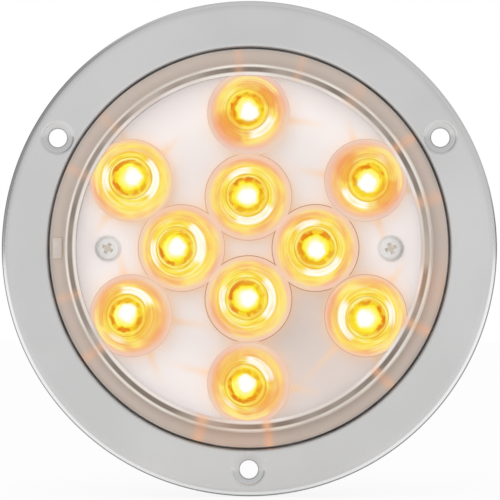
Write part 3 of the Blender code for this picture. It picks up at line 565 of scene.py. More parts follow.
def lit_acrylic(finish):
    """Acrylic, moulded and polished, lit from below by an amber diode."""
    # The eye sees the diode magnified, and all of it is painted as glow: a white core, a deep ring in spots at
    # the well's wall, a yellow field with white crescents where the flared side mirrors the diode, and a rim
    # that the light hardly reaches.
    # Each collimator leans and fills differently, so those values come from the piece itself.
    made, tree = new_finish("acrylic, moulded and polished, lit amber")
    where = add_node(tree, "TexCoord").outputs["Object"]
    core, ring, filled, rim_shade, edge, outward = (
        add_node(tree, "Attribute", attribute_type="OBJECT", attribute_name=name).outputs[output]
        for name, output in (("core_mm", "Vector"), ("ring_mm", "Vector"), ("filled", "Fac"),
                             ("rim_shade", "Fac"), ("rim_mm", "Fac"), ("outward", "Vector")))
    flat = add_node(tree, "VectorMath", (where, (1000.0, 0.0, 1000.0)), operation="MULTIPLY")
    rim = add_node(tree, "VectorMath", (flat,), operation="LENGTH")
    hold = add_node(tree, "MapRange", (rim, 4.0, 11.0, 1.0, 0.0))
    lean = add_node(tree, "VectorMath", (ring, hold), operation="SCALE")
    leaning = add_node(tree, "VectorMath", (flat, lean), operation="SUBTRACT")
    far = add_node(tree, "VectorMath", (leaning,), operation="LENGTH")
    toward = add_node(tree, "VectorMath", (leaning,), operation="NORMALIZE")
    side = add_node(tree, "SeparateXYZ", (toward,)).outputs

    # Soft spots 2.5 mm wide, and fine arcs and broad patches that run round the axis, moved on for each piece
    offset = add_node(tree, "VectorMath", (core, 31.0), operation="SCALE")
    spot = add_node(tree, "VectorMath", (flat, offset), operation="ADD")
    blotch = add_node(tree, "TexNoise", {"Vector": spot, "Scale": 1 / 2.5, "Detail": 1.0})
    layer = add_node(tree, "SeparateColor", (blotch.outputs["Color"],)).outputs
    polar = add_node(tree, "CombineXYZ", (side["X"], far, side["Z"]))
    streak = add_node(tree, "VectorMath", (polar, (1.1, 1.3, 1.1), offset), operation="MULTIPLY_ADD")
    arcs = add_node(tree, "TexNoise", {"Vector": streak, "Scale": 1.0, "Detail": 2.0})
    sector = add_node(tree, "VectorMath", (polar, (1.0, 0.35, 1.0), offset), operation="MULTIPLY_ADD")
    patch = add_node(tree, "TexNoise", {"Vector": sector, "Scale": 1.0, "Detail": 2.0, "Roughness": 0.4})

    # The field's colours by the distance from its middle, which the soft spots shift to and fro
    calm = add_node(tree, "MapRange", (far, 4.6, 6.0, 1.4, 0.4))
    wave = add_node(tree, "Math", (layer["Red"], 0.5), operation="SUBTRACT")
    wavy = add_node(tree, "Math", (wave, calm, far), operation="MULTIPLY_ADD")
    reach = add_node(tree, "Math", (wavy, OPTIC_REACH_MM), operation="DIVIDE")
    even = add_node(tree, "Math", (far, OPTIC_REACH_MM), operation="DIVIDE")
    full = add_node(tree, "ValToRGB", (reach,), reach_stops(
        (2.6, "#FDF88C"), (3.3, "#FCF240"), (3.9, "#FBE82C"), (4.9, "#FBE43A"), (5.3, "#FCEE80"),
        (5.7, "#FAE248"), (6.0, "#F4CE30"), (6.35, "#FBE854"), (7.3, finish.amber), (8.1, "#FCE470"),
        (8.35, "#EBBC48"), (8.7, "#FCDA60"), (9.4, "#FAD074"), (10.0, "#F8CA8C"), (10.6, "#F7CBA8"),
        (11.2, finish.blush)))
    part = add_node(tree, "ValToRGB", (reach,), reach_stops(
        (2.6, "#FDF684"), (3.3, "#FCEE38"), (3.9, "#FBE42A"), (4.9, "#FBE03A"), (5.3, "#FBE86C"),
        (5.7, "#F8D040"), (6.0, "#FBDC4C"), (6.6, "#FCE65C"), (7.3, "#FBE464"), (7.8, "#FAD868"),
        (8.4, "#FACC78"), (9.2, "#F9C890"), (10.0, "#F1BFA3"), (10.6, "#EDC7B6"), (11.2, "#E8CDC4")))
    field = add_node(tree, "Mix", (filled, part, full), data_type="RGBA")

    # Outside the field, which is smaller where it is not filled, the flared side shows in yellow and salmon
    drawn = add_node(tree, "Math", (filled, -0.14, reach), operation="MULTIPLY_ADD")
    outer = add_node(tree, "ValToRGB", (drawn,), reach_stops((5.5, 0.0), (6.6, 0.6), (8.7, 0.6), (9.7, 0.1)))
    flared = add_node(tree, "ValToRGB", (patch,),
                      ((0.38, "#FCF07C"), (0.46, "#FBDA6C"), (0.54, "#F6B67A"), (0.64, "#EE986C")))
    patched = add_node(tree, "Mix", (outer, field, flared), data_type="RGBA")

    # Fine arcs of the diode, mirrored round and round
    band = add_node(tree, "ValToRGB", (reach,),
                    reach_stops((5.0, 0.0), (5.4, 1.0), (7.2, 1.0), (9.0, 0.5), (10.4, 0.0)))
    share = add_node(tree, "MapRange", (filled, 0.0, 1.0, 0.22, 0.5))
    faint = add_node(tree, "Math", (band, share), operation="MULTIPLY")
    mirrored = add_node(tree, "ValToRGB", (arcs,),
                        ((0.36, "#F4AC34"), (0.46, "#FADC40"), (0.55, "#FCF06A"), (0.64, "#FFFCC4")))
    streaked = add_node(tree, "Mix", (faint, patched, mirrored), data_type="RGBA")

    # Where the field is not filled, it falls to orange and salmon on both sides of the line of the crescents
    square = add_node(tree, "Math", (side["X"], side["X"]), operation="MULTIPLY")
    torn = add_node(tree, "Math", (patch, 1.3, square), operation="MULTIPLY_ADD")
    beside = add_node(tree, "MapRange", (torn, 0.80, 1.15, 1.0, 0.0), **SOFT)
    empty = add_node(tree, "Math", (1.0, filled), operation="SUBTRACT")
    fallen = add_node(tree, "Math", (beside, empty), operation="MULTIPLY")
    span = add_node(tree, "ValToRGB", (reach,), reach_stops(
        (3.6, 0.0), (4.4, 0.65), (5.2, 0.5), (5.8, 0.8), (8.4, 0.8), (9.8, 0.6), (10.9, 0.1)))
    dimmed = add_node(tree, "Math", (fallen, span), operation="MULTIPLY")
    dull = add_node(tree, "ValToRGB", (reach,), reach_stops(
        (4.4, "#E8881C"), (5.4, "#F4B044"), (6.2, "#F09830"), (7.2, "#F29A3C"), (8.4, "#EE9458"),
        (10.0, "#F0A282")))
    sided = add_node(tree, "Mix", (dimmed, streaked, dull), data_type="RGBA")

    # The grooves draw thin dull lines, and the well's wall a deep ring that breaks into spots. The ring is
    # smaller where the field is not filled.
    line = add_node(tree, "ValToRGB", (even,), reach_stops(
        (5.76, 0.0), (5.9, 0.42), (6.04, 0.42), (6.18, 0.0), (6.55, 0.0), (6.7, 0.22), (6.85, 0.0),
        (7.3, 0.0), (7.45, 0.2), (7.6, 0.0)))
    lined = add_node(tree, "Mix", (line, sided, linear("#C88E34")), data_type="RGBA")
    within = add_node(tree, "Math", (empty, 0.045, reach), operation="MULTIPLY_ADD")
    wall = add_node(tree, "ValToRGB", (within,), reach_stops((3.5, 0.0), (4.1, 1.0), (4.95, 1.0), (5.45, 0.0)))
    spots = add_node(tree, "MapRange", (layer["Green"], 0.42, 0.57, 0.35, 1.0), **SOFT)
    shaded = add_node(tree, "MapRange", (side["X"], -1.0, 1.0, 1.0, 0.55))
    deep = add_node(tree, "Math", (wall, spots), operation="MULTIPLY")
    deeper = add_node(tree, "Math", (deep, shaded), operation="MULTIPLY")
    ringed = add_node(tree, "Mix", (deeper, lined, finish.ember), data_type="RGBA")

    # Two crescents: the first is broad and white, and the second shrinks where the field is not filled
    uneven = add_node(tree, "Math", (side["X"], 0.2, square), operation="MULTIPLY_ADD")
    sized = add_node(tree, "Math", (filled, 0.25, uneven), operation="MULTIPLY_ADD")
    lobes = add_node(tree, "MapRange", (sized, 0.72, 1.04), **SOFT)
    path = add_node(tree, "ValToRGB", (even,), reach_stops(
        (6.05, 0.0), (6.4, 1.0), (6.9, 1.0), (7.05, 0.6), (7.2, 1.0), (7.85, 1.0), (8.15, 0.0)))
    broken = add_node(tree, "MapRange", (arcs, 0.35, 0.5, 0.6, 1.0))
    sweep = add_node(tree, "Math", (path, lobes), operation="MULTIPLY")
    gleam = add_node(tree, "Math", (sweep, broken), operation="MULTIPLY")
    bright = add_node(tree, "Mix", (gleam, ringed, linear("#FFFEF0")), data_type="RGBA")

    # Beside the lens wall, the wall's mirror image of the diode lights the rim in streaks
    walled = add_node(tree, "VectorMath", (toward, outward), operation="DOT_PRODUCT")
    ragged = add_node(tree, "Math", (patch, 0.9, walled), operation="MULTIPLY_ADD")
    beam = add_node(tree, "MapRange", (ragged, 1.05, 1.3, 0.0, 0.85), **SOFT)
    strip = add_node(tree, "ValToRGB", (reach,), reach_stops(
        (8.5, 0.0), (8.9, 0.8), (9.2, 0.3), (9.5, 1.0), (9.9, 0.8), (10.4, 0.0)))
    streaky = add_node(tree, "Math", (beam, strip), operation="MULTIPLY")
    rimmed = add_node(tree, "Mix", (streaky, bright, linear("#FDEE98")), data_type="RGBA")

    # The white core, and the thin dull edge of the rim, which is painted shade
    apart = add_node(tree, "VectorMath", (flat, core), operation="DISTANCE")
    blurred = add_node(tree, "Math", (wave, 2.0, apart), operation="MULTIPLY_ADD")
    burning = add_node(tree, "MapRange", (blurred, 1.7, 3.05, 1.0, 0.0), **SOFT)
    cored = add_node(tree, "Mix", (burning, rimmed, finish.core), data_type="RGBA")
    inset = add_node(tree, "Math", (rim, edge), operation="SUBTRACT")
    margin = add_node(tree, "MapRange", (inset, -0.34, -0.14, 0.0, rim_shade), **SOFT)
    edged = add_node(tree, "Mix", (margin, cored, linear("#9A6E5C")), data_type="RGBA")

    # The flared side glows pale, and warmer towards the foot: painted light
    normal = add_node(tree, "NewGeometry").outputs["Normal"]
    facing = add_node(tree, "SeparateXYZ", (normal,)).outputs["Y"]
    under = add_node(tree, "MapRange", (facing, 0.05, 0.3))
    depth = add_node(tree, "SeparateXYZ", (where,)).outputs["Y"]
    warm = add_node(tree, "MapRange", (depth, -0.0075, -0.0005))
    flare = add_node(tree, "ValToRGB", (warm,), ((0.0, "#F6EFEC"), (0.5, "#F7EBDE"), (1.0, "#FADDB2")))
    glow = add_node(tree, "Mix", (under, edged, flare), data_type="RGBA")
    shader = add_node(tree, "BsdfPrincipled", {"Base Color": linear("#30241C"), "Roughness": 0.12, "IOR": 1.2,
                                               "Emission Color": glow, "Emission Strength": 1.0})
    add_node(tree, "OutputMaterial", {"Surface": shader})
    return made


def optic_places():
    """The middle of each collimator's foot."""
    places = []
    for number in range(1, OPTIC_COUNT + 1):
        low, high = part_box(f"optic_{number:02}")
        places.append(Vector(((low.x + high.x) / 2, high.y, (low.z + high.z) / 2)))
    return places


def optic_radii():
    """The outer radius of each collimator: those inside the ring have broader rims."""
    size = bpy.context.scene.lamp.optic
    return [size.radius] * OUTER_COUNT + [size.broad_radius] * (OPTIC_COUNT - OUTER_COUNT)


# How each collimator looks: the degrees to its brighter crescent, how far its field is filled, how dark the
# painted shade at its edge is, the place of its core in millimetres to the right and up, and its rays of stray
# light, each by its degrees and its length beyond the rim in millimetres
OPTIC_LOOKS = (
    (-50, 0.0, 0.12, (0.14, 0.47), ((-8, 12),)),
    (235, 0.1, 0.25, (0.47, -0.72), ((-12, 12), (106, 8), (170, 11), (-72, 13))),
    (190, 1.0, 0.50, (-0.08, -0.86), ((227, 19), (53, 9), (-13, 8), (-76, 9))),
    (50, 0.35, 0.15, (-0.67, -0.10), ((167, 14), (-8, 10))),
    (65, 0.38, 0.25, (-1.43, 0.89), ((-8, 14), (103, 12), (-67, 11), (234, 8))),
    (0, 1.0, 0.20, (0.19, 0.95), ((44, 8), (233, 9), (103, 8))),
    (-70, 0.9, 0.50, (-0.28, 0.08), ()),
    (-70, 0.9, 0.85, (0.37, -0.41), ()),
    (0, 1.0, 0.85, (-0.10, 0.20), ()),
    (12, 1.0, 0.45, (-1.38, 0.21), ()),
)

# Where amber light leaves through the lens lip: degrees round the axis, how strong it is, and its half width
# in millimetres
LIP_GLINTS = (
    (15, 0.35, 1.8), (34, 0.45, 1.4), (55, 0.2, 2.0), (74, 0.25, 1.2), (93, 0.3, 1.4), (138, 0.2, 1.6),
    (156, 0.25, 1.4), (195, 0.3, 1.2), (214, 0.4, 1.4), (255, 0.5, 1.6), (265, 0.15, 12.0), (276, 0.65, 1.3),
    (316, 0.5, 1.3), (335, 0.5, 1.4), (348, 0.2, 8.0),
)


def spilled(points):
    """How much amber light falls on each (x, z) point beside the collimators: soft halos and thin rays."""
    total = np.zeros(len(points))
    for (x, level, z), radius, look in zip(optic_places(), optic_radii(), OPTIC_LOOKS):
        away = points - np.array((x, z))
        distance = np.maximum(np.hypot(away[:, 0], away[:, 1]) - radius, 0.0)
        total += (0.35 + 0.2 * look[1]) * np.exp(-distance / 0.0014)
        for degrees, reach_mm in look[4]:
            along = away @ np.array(on_circle(1.0, degrees))
            across = away @ np.array(on_circle(1.0, degrees + 90))
            fade = np.clip(1.0 - (along - radius) / (reach_mm / 1000.0), 0.0, 1.0) * (along > 0)
            total += 0.52 * fade * np.exp(-((across / 0.0011) ** 2))
    return np.clip(total, 0.0, 0.9)


def glinted(points):
    """How much amber light leaves the lens lip at each (x, z) point."""
    total = np.zeros(len(points))
    for degrees, strength, width_mm in LIP_GLINTS:
        along = points @ np.array(on_circle(1.0, degrees))
        across = points @ np.array(on_circle(1.0, degrees + 90))
        total += strength * (along > 0.0) * np.exp(-((across / (width_mm / 1000.0)) ** 2))
    return np.clip(total, 0.0, 0.9)


def paint_spill(piece, light):
    """Keep the amber light at each point of a piece, as a function gives it, with its mesh."""
    mesh = piece.data
    points = np.zeros(len(mesh.vertices) * 3)
    mesh.vertices.foreach_get("co", points)
    share = light(points.reshape(-1, 3)[:, (0, 2)])
    mesh.attributes.new("spill", "FLOAT", "POINT").data.foreach_set("value", share.astype(np.float32))


class LAMP_OT_flange(Operator):
    """Stamp the mounting flange: rolled rim, dimpled screw holes and the ledge for the lamp"""

    bl_idname = "lamp.flange"
    bl_label = "Mounting Flange"

    def execute(self, context):
        size = context.scene.lamp.flange
        face, sheet = size.face, size.sheet
        rim = (size.radius - size.rim_roll, face + size.rim_roll)
        mouth = (size.mouth_radius + size.mouth_roll, face + size.mouth_roll)
        collar = size.mouth_radius + sheet
        back = size.ledge_level + sheet
        flat = [rim[0] + (mouth[0] - rim[0]) * i / 22 for i in range(1, 22)]
        outline = [(size.radius, -0.0003), *arc(rim, size.rim_roll, 0, -90, 14)]
        outline += [(radius, face) for radius in flat]
        outline += arc(mouth, size.mouth_roll, -90, -180, 8)
        ledge = [(size.mouth_radius, mouth[1], 0.0), (size.mouth_radius, size.ledge_level, 0.0006),
                 (size.ledge_radius, size.ledge_level, 0.0003), (size.ledge_radius, back, 0.0003),
                 (collar, back, 0.0012), (collar, mouth[1], 0.0)]
        outline += rounded(ledge, closed=False)[1:]
        outline += arc(mouth, max(size.mouth_roll - sheet, 0.0001), -180, -90, 4)[1:]
        outline += [(radius, face + sheet) for radius in reversed(flat)]
        outline += arc(rim, size.rim_roll - sheet, -90, 0, 10)
        outline += [(size.radius - sheet, -0.0003), (size.radius - sheet + 0.0003, 0.0),
                    (size.radius - 0.0003, 0.0)]

        dimple, hole, depth = size.dimple_radius, size.hole_radius, size.dimple_depth
        wall = ((0.00035, 0.00002), (0.00015, 0.00008), (-0.00005, 0.00019), (-0.00025, 0.00035),
                (-0.00045, 0.00051), (-0.00065, 0.00063), (-0.0009, 0.0007))
        cut = [(0.0, 2 * face), (dimple + 0.0004, 2 * face), (dimple + 0.0004, face - 0.00002),
               *((dimple + step, face + sink) for step, sink in wall), (hole + 0.0002, face + depth),
               (hole, face + depth + 0.00015), (hole, back + sheet), (0.0, back + sheet)]
        cup = [(0.0, face + sheet / 2), (dimple + 0.0006, face + sheet / 2),
               (dimple + 0.0006, face + sheet - 0.00002),
               *((dimple + step + 0.0004, face + sheet + sink) for step, sink in wall[1:]),
               (hole + 0.0008, face + sheet + depth), (0.0, face + sheet + depth)]
        cups, cuts = [], []
        for degrees in HOLE_DEGREES:
            x, z = on_circle(size.hole_circle, degrees)
            for shapes, section in ((cups, cup), (cuts, cut)):
                shape = turned(section, around(SMALL_TURN), closed=False)
                bmesh.ops.translate(shape, vec=(x, 0.0, z), verts=shape.verts)
                shapes.append(shape)
        # Two calls, so that the joined sheet is cleaned before it is cut: a cut through slivers can fail.
        cupped = combined(turned(outline, around(LARGE_TURN)), ("UNION", gathered(cups)))
        sheet_metal = combined(cupped, ("DIFFERENCE", gathered(cuts)))
        settle("flange_sheet", sheet_metal, satin_stainless(context.scene.lamp.finish, size), "flange_unit",
               ["mounting_flange"])
        return {"FINISHED"}


class LAMP_OT_seat_ring(Operator):
    """Mould the rubber ring that the lens lip sits on"""

    bl_idname = "lamp.seat_ring"
    bl_label = "Seat Ring"

    def execute(self, context):
        low, high = SEAT_BOX
        flange, lens = context.scene.lamp.flange, context.scene.lamp.lens
        wall = lens.lip_radius + 0.00006
        outer = flange.mouth_radius - 0.00002
        base = lens.lip_back + 0.0003
        inner = flange.ledge_radius + 0.0003
        corners = [(outer, high.y, 0.0002), (outer, low.y, 0.00008), (wall, low.y, 0.00008),
                   (wall, base, 0.0002), (inner, base, 0.0004), (inner, high.y, 0.0002)]
        # Black rubber from a mould is matt and takes a bloom in patches, so it reads as a dark line that
        # comes and goes.
        rubber = grained("black rubber, moulded", tuple(context.scene.lamp.finish.rubber), 0.72, 0.0,
                         speck_mm=9.0, relief_mm=0.02, mottle=0.6)
        settle("seat_rubber", turned(rounded(corners), around(LARGE_TURN)), rubber, "flange_unit",
               ["seat_ring"])
        return {"FINISHED"}


class LAMP_OT_clips(Operator):
    """Bend the three leaf springs that hold the lamp in the flange"""

    bl_idname = "lamp.clips"
    bl_label = "Retaining Clips"

    def execute(self, context):
        # Cold-rolled strip keeps long faint streaks from the mill and a bright, slightly blue surface.
        spring = grained("spring steel strip, rolled and tempered", linear("#B4B6BA"), 0.3, 1.0,
                         speck_mm=0.8, relief_mm=0.01, mottle=0.1)
        touch, front, sheet, width = 0.052509, 0.0011, 0.0006, 0.0090
        press, tip = front + 0.0049, front + 0.0073
        foot = 0.057309
        corners = [(foot, front, 0.0), (touch + 0.0006, front, 0.0008), (touch, press, 0.0010),
                   (touch + 0.0008, tip, 0.0), (touch + 0.0008 + sheet, tip, 0.0),
                   (touch + sheet, press, 0.0008), (touch + 0.0006 + sheet, front + sheet, 0.0004),
                   (foot, front + sheet, 0.0)]
        section = rounded(corners)
        for number, degrees in enumerate(CLIP_DEGREES, start=1):
            leaf = lofted([[(radius, level, z) for radius, level in section] for z in (-width / 2, width / 2)])
            edges = [edge for edge in leaf.edges if len({round(end.co.z, 6) for end in edge.verts}) == 1]
            bmesh.ops.bevel(leaf, geom=edges, offset=0.00012, segments=2, profile=0.5, affect="EDGES")
            settle(f"clip_spring_{number}", leaf, spring, "flange_unit", [f"retaining_clip_{number}"],
                   turn=math.radians(degrees))
        return {"FINISHED"}


class LAMP_OT_housing(Operator):
    """Mould the rear housing with its ribs and the receptacle for the plug"""

    bl_idname = "lamp.housing"
    bl_label = "Rear Housing"

    def execute(self, context):
        size = context.scene.lamp.housing
        sink = 0.0005
        corners = [(0.0, size.floor_level, 0.0), (size.shelf_radius, size.floor_level, 0.0012),
                   (size.shelf_radius, size.shelf_level, 0.0), (size.bore_radius, size.shelf_level, 0.0),
                   (size.bore_radius, size.rim_level, 0.0003), (size.radius, size.rim_level, 0.0003),
                   (size.radius, size.shoulder_level - 0.0014, 0.0008),
                   (size.back_radius, size.shoulder_level, 0.0008),
                   (size.back_radius, size.back_level, 0.0030), (0.0, size.back_level, 0.0)]
        shell = turned(rounded(corners, closed=False), around(LARGE_TURN), closed=False)
        ribs = []
        for number in range(8):
            rib = soft_block((0.0233, 0.0012 + sink, 0.0018), (0.0351595, size.back_level + 0.00035, 0.0),
                             0.0003)
            bmesh.ops.rotate(rib, cent=(0, 0, 0), verts=rib.verts,
                             matrix=Matrix.Rotation(math.radians(45 * number + 22.5), 3, "Y"))
            ribs.append(rib)
        width = size.socket_width + 2 * size.socket_wall
        height = size.socket_height + 2 * size.socket_wall
        corner = size.socket_corner + size.socket_wall
        mouth, edge = size.socket_level, 0.0005
        shroud = lofted([oblong(width + 0.0012, height + 0.0012, corner + 0.0006, size.back_level - sink),
                         oblong(width + 0.0012, height + 0.0012, corner + 0.0006, size.back_level + 0.0001),
                         oblong(width, height, corner, size.back_level + 0.0012),
                         oblong(width, height, corner, mouth - edge),
                         oblong(width - 0.3 * edge, height - 0.3 * edge, corner, mouth - 0.3 * edge),
                         oblong(width - edge, height - edge, corner, mouth)])
        inside = (size.socket_width, size.socket_height, size.socket_corner)
        pocket = lofted([oblong(*inside, size.back_level - sink), oblong(*inside, mouth - edge),
                         oblong(size.socket_width + 2 * edge, size.socket_height + 2 * edge,
                                size.socket_corner + edge, mouth + sink)])
        slot_rise = (size.socket_height + size.socket_wall) / 2
        slot = soft_block((size.slot_width, mouth - size.back_level + sink, size.socket_wall + 0.0012),
                          (0.0, (mouth + size.back_level) / 2 + 0.0012, slot_rise), 0.0003)
        pins = [rod(0.0015, size.floor_level - sink, size.back_level + sink, (x * size.pin_pitch, 0.0))
                for x in (-1, 0, 1)]
        shell = combined(shell, ("UNION", gathered(ribs)), ("UNION", shroud), ("DIFFERENCE", pocket),
                         ("DIFFERENCE", slot), ("DIFFERENCE", gathered(pins)))
        # ABS from a spark-eroded mould: a fine even grain that breaks highlights into a soft dark grey.
        # The real grain is about 0.1 mm, and it is drawn coarser so that it shows.
        plastic = grained("black ABS, moulded in a spark-eroded tool", tuple(context.scene.lamp.finish.housing),
                          0.46, 0.0, speck_mm=0.45, relief_mm=0.06, mottle=0.12, IOR=1.53)
        settle("housing_shell", shell, plastic, "lamp_unit", ["rear_housing"])
        return {"FINISHED"}


class LAMP_OT_terminals(Operator):
    """Turn the receptacle's pins and finish the resin that seals them"""

    bl_idname = "lamp.terminals"
    bl_label = "Terminal Pins"

    def execute(self, context):
        low, high = PIN_BOX
        radius, foot = 0.0012, 0.0020
        corners = [(0.0, low.y, 0.0), (foot, low.y, 0.0002), (foot, low.y + 0.0008, 0.0002),
                   (radius, low.y + 0.0008, 0.0), (radius, high.y, 0.0009), (0.0, high.y, 0.0)]
        outline = rounded(corners, closed=False)
        # Tin plate over turned brass is a soft warm white metal with faint tool rings under it.
        tin = grained("brass pin, turned and tin plated", linear("#DEDBD2"), 0.24, 1.0,
                      speck_mm=0.4, relief_mm=0.01, mottle=0.08)
        for number in (1, 2, 3):
            start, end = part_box(f"terminal_pin_{number}")
            settle(f"pin_{number}", turned(outline, around(SMALL_TURN), closed=False), tin, "lamp_unit",
                   [f"terminal_pin_{number}"], place=((start.x + end.x) / 2, 0.0, 0.0))
        # Potting resin sets with a level, glossy skin and a few specks.
        coat_solids(["terminal_potting"], grained("epoxy resin, poured and cured", linear("#3C3C40"), 0.2, 0.0,
                                                  speck_mm=1.2, relief_mm=0.02, mottle=0.15))
        return {"FINISHED"}


class LAMP_OT_lens(Operator):
    """Mould the clear lens cap with its lip and key"""

    bl_idname = "lamp.lens"
    bl_label = "Lens"

    def execute(self, context):
        lamp = context.scene.lamp
        size = lamp.lens
        corner = (size.dome_radius - size.corner, size.front + size.crown + size.corner)
        root = (size.dome_radius + size.root, size.lip_front - size.root)
        inside = size.corner / 2
        edge = size.bore_radius - 0.0013
        shares = [i / 16 * edge / corner[0] for i in range(17)]
        outline = [(corner[0] * s, size.front + size.crown * s * s) for s in shares]
        outline += arc(corner, size.corner, -90, 0, 10)
        outline += arc(root, size.root, 180, 90, 6)
        lip = [(root[0], size.lip_front, 0.0), (size.lip_radius, size.lip_front, 0.0003),
               (size.lip_radius, size.lip_back, 0.0003), (size.bore_radius, size.lip_back, 0.0),
               (size.bore_radius, size.front + size.thickness + inside, 0.0)]
        # Rings across the lip, for the light that is painted on it
        outline += [(0.053 + 0.0005 * i, size.lip_front) for i in range(4)]
        outline += rounded(lip, closed=False)[1:-1]
        outline += arc((size.bore_radius - inside, size.front + size.thickness + inside), inside, 0, -90, 6)
        outline += [(edge * i / 16, size.front + size.thickness) for i in reversed(range(17))]
        cap = turned(outline, around(FINE_TURN), closed=False)
        cap.normal_update()
        for face in cap.faces:
            middle = face.calc_center_median()
            away = math.hypot(middle.x, middle.z)
            upright = abs(face.normal.y) < 0.2 and away < size.dome_radius + 0.0001
            face.material_index = 0 if away < edge else 2 if upright else 1
        # The window in view is almost free of reflections, and the wall has more.
        window = clear_sheet("polycarbonate window, moulded and polished", "#FEFEFD", 0.03)
        thick = clear_edge(lamp.finish, size)
        wall = clear_sheet("polycarbonate wall, moulded and polished", "#F7F2EC", 0.1)
        made = settle("lens_cap", cap, [window, thick, wall], "lamp_unit", ["lens"])
        paint_spill(made, glinted)
        key_x = -(size.lip_radius - 0.0009 - size.key_width / 2)
        sink = 0.0004
        key = soft_block((size.key_width, size.key_height + sink, size.key_length),
                         (key_x, size.lip_front + (sink - size.key_height) / 2, 0.0), 0.00018)
        # The key is thicker than the lip, so it passes more light and looks paler.
        pale = grained("polycarbonate key, moulded and polished", linear("#D0C6BE"), 0.2, 0.0,
                       speck_mm=2.0, relief_mm=0.01, mottle=0.05, IOR=1.4)
        settle("lens_key", key, pale, "lamp_unit", [])
        return {"FINISHED"}


class LAMP_OT_board(Operator):
    """Cut the white board that carries the diodes and collimators"""

    bl_idname = "lamp.board"
    bl_label = "LED Board"

    def execute(self, context):
        low, high = BOARD_BOX
        edge = 0.0002
        rings = 80
        outline = [(high.x * i / rings, low.y) for i in range(rings)]
        outline += [(high.x - edge, low.y), (high.x, low.y + edge), (high.x, high.y), (0.0, high.y)]
        disc = turned(outline, around(FINE_TURN), closed=False)
        holes = []
        for side in ("left", "right"):
            start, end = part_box(f"board_screw_{side}")
            holes.append(rod(0.00175, low.y - edge, high.y + edge, ((start.x + end.x) / 2, 0.0)))
        disc = combined(disc, ("DIFFERENCE", gathered(holes)))
        made = settle("board_disc", disc, white_mask(context.scene.lamp.finish), "lamp_unit", ["led_board"])
        paint_spill(made, spilled)
        return {"FINISHED"}


class LAMP_OT_optics(Operator):
    """Mould the ten collimators over the diodes"""

    bl_idname = "lamp.optics"
    bl_label = "Collimators"

    def execute(self, context):
        size = context.scene.lamp.optic
        front = -size.height
        throat = front + size.rim
        well = size.well_radius
        floor = front + size.well_depth
        bowl = [(well * i / 12, floor - size.well_crown * (1 - (i / 12) ** 2)) for i in range(12)]
        top = [(0.0, floor, 0.0), (well, floor, 0.0002), (well, front, 0.0003)]
        for groove in (0.0053, 0.0061, 0.0083, 0.0099):
            top += [(groove - 0.0002, front, 0.0), (groove, front + 0.00015, 0.0),
                    (groove + 0.0002, front, 0.0)]
        flare = size.radius - 0.0004 - size.foot_radius
        under = [(size.foot_radius + flare * math.sqrt(1 - i / 14), throat * (1 - i / 14))
                 for i in range(1, 15)]
        under += [(size.bore_radius, 0.0), (size.bore_radius, -size.bore_depth),
                  (0.0, 0.0009 - size.bore_depth)]
        acrylic = lit_acrylic(context.scene.lamp.finish)
        places, radii = optic_places(), optic_radii()
        for number, (place, radius, look) in enumerate(zip(places, radii, OPTIC_LOOKS), start=1):
            turn, filled, rim_shade, core, rays = look
            turn = math.radians(turn)
            rim = [(radius, front, 0.0003), (radius, throat, 0.0002), (size.radius - 0.0004, throat, 0.0)]
            cup = turned(bowl + rounded(top + rim, closed=False)[1:] + under, around(OPTIC_TURN), closed=False)
            # Rims that would meet are cut flat, half way between the two axes.
            for other in places:
                away = Matrix.Rotation(turn, 3, "Y") @ (other - place)
                if 0.0 < away.length < 2 * radius:
                    cut = bmesh.ops.bisect_plane(cup, geom=[*cup.verts, *cup.edges, *cup.faces],
                                                 plane_co=away * 0.499, plane_no=away, clear_outer=True)
                    bmesh.ops.edgenet_fill(cup, edges=[one for one in cut["geom_cut"]
                                                       if isinstance(one, bmesh.types.BMEdge)])
            bmesh.ops.recalc_face_normals(cup, faces=cup.faces)
            made = settle(f"collimator_{number:02}", cup, acrylic, "lamp_unit", [f"optic_{number:02}"],
                          place=place, turn=turn, sharp=50.0)
            across = core[0] * math.cos(turn) + core[1] * math.sin(turn)
            along = core[1] * math.cos(turn) - core[0] * math.sin(turn)
            made["filled"] = filled
            made["rim_shade"] = rim_shade
            made["rim_mm"] = radius * 1000.0
            beyond = Matrix.Rotation(turn, 3, "Y") @ Vector((place.x, 0.0, place.z)).normalized()
            made["outward"] = beyond if number <= OUTER_COUNT else (0.0, 0.0, 0.0)
            made["core_mm"] = (across, 0.0, along)
            made["ring_mm"] = (across + 0.4 * filled - 1.0, 0.0, along)
        return {"FINISHED"}


class LAMP_OT_diodes(Operator):
    """Finish the ten amber diodes under the collimators"""

    bl_idname = "lamp.diodes"
    bl_label = "Diodes"

    def execute(self, context):
        # Silicone over a burning die glows evenly, whitest where the die is.
        amber = grained("silicone cap over an amber die, moulded", linear("#FFC038"), 0.3, 0.0, speck_mm=0.8,
                        relief_mm=0.01, mottle=0.05,
                        **{"Emission Color": linear("#FFB428"), "Emission Strength": 1.0})
        coat_solids([f"led_{number:02}" for number in range(1, OPTIC_COUNT + 1)], amber)
        return {"FINISHED"}


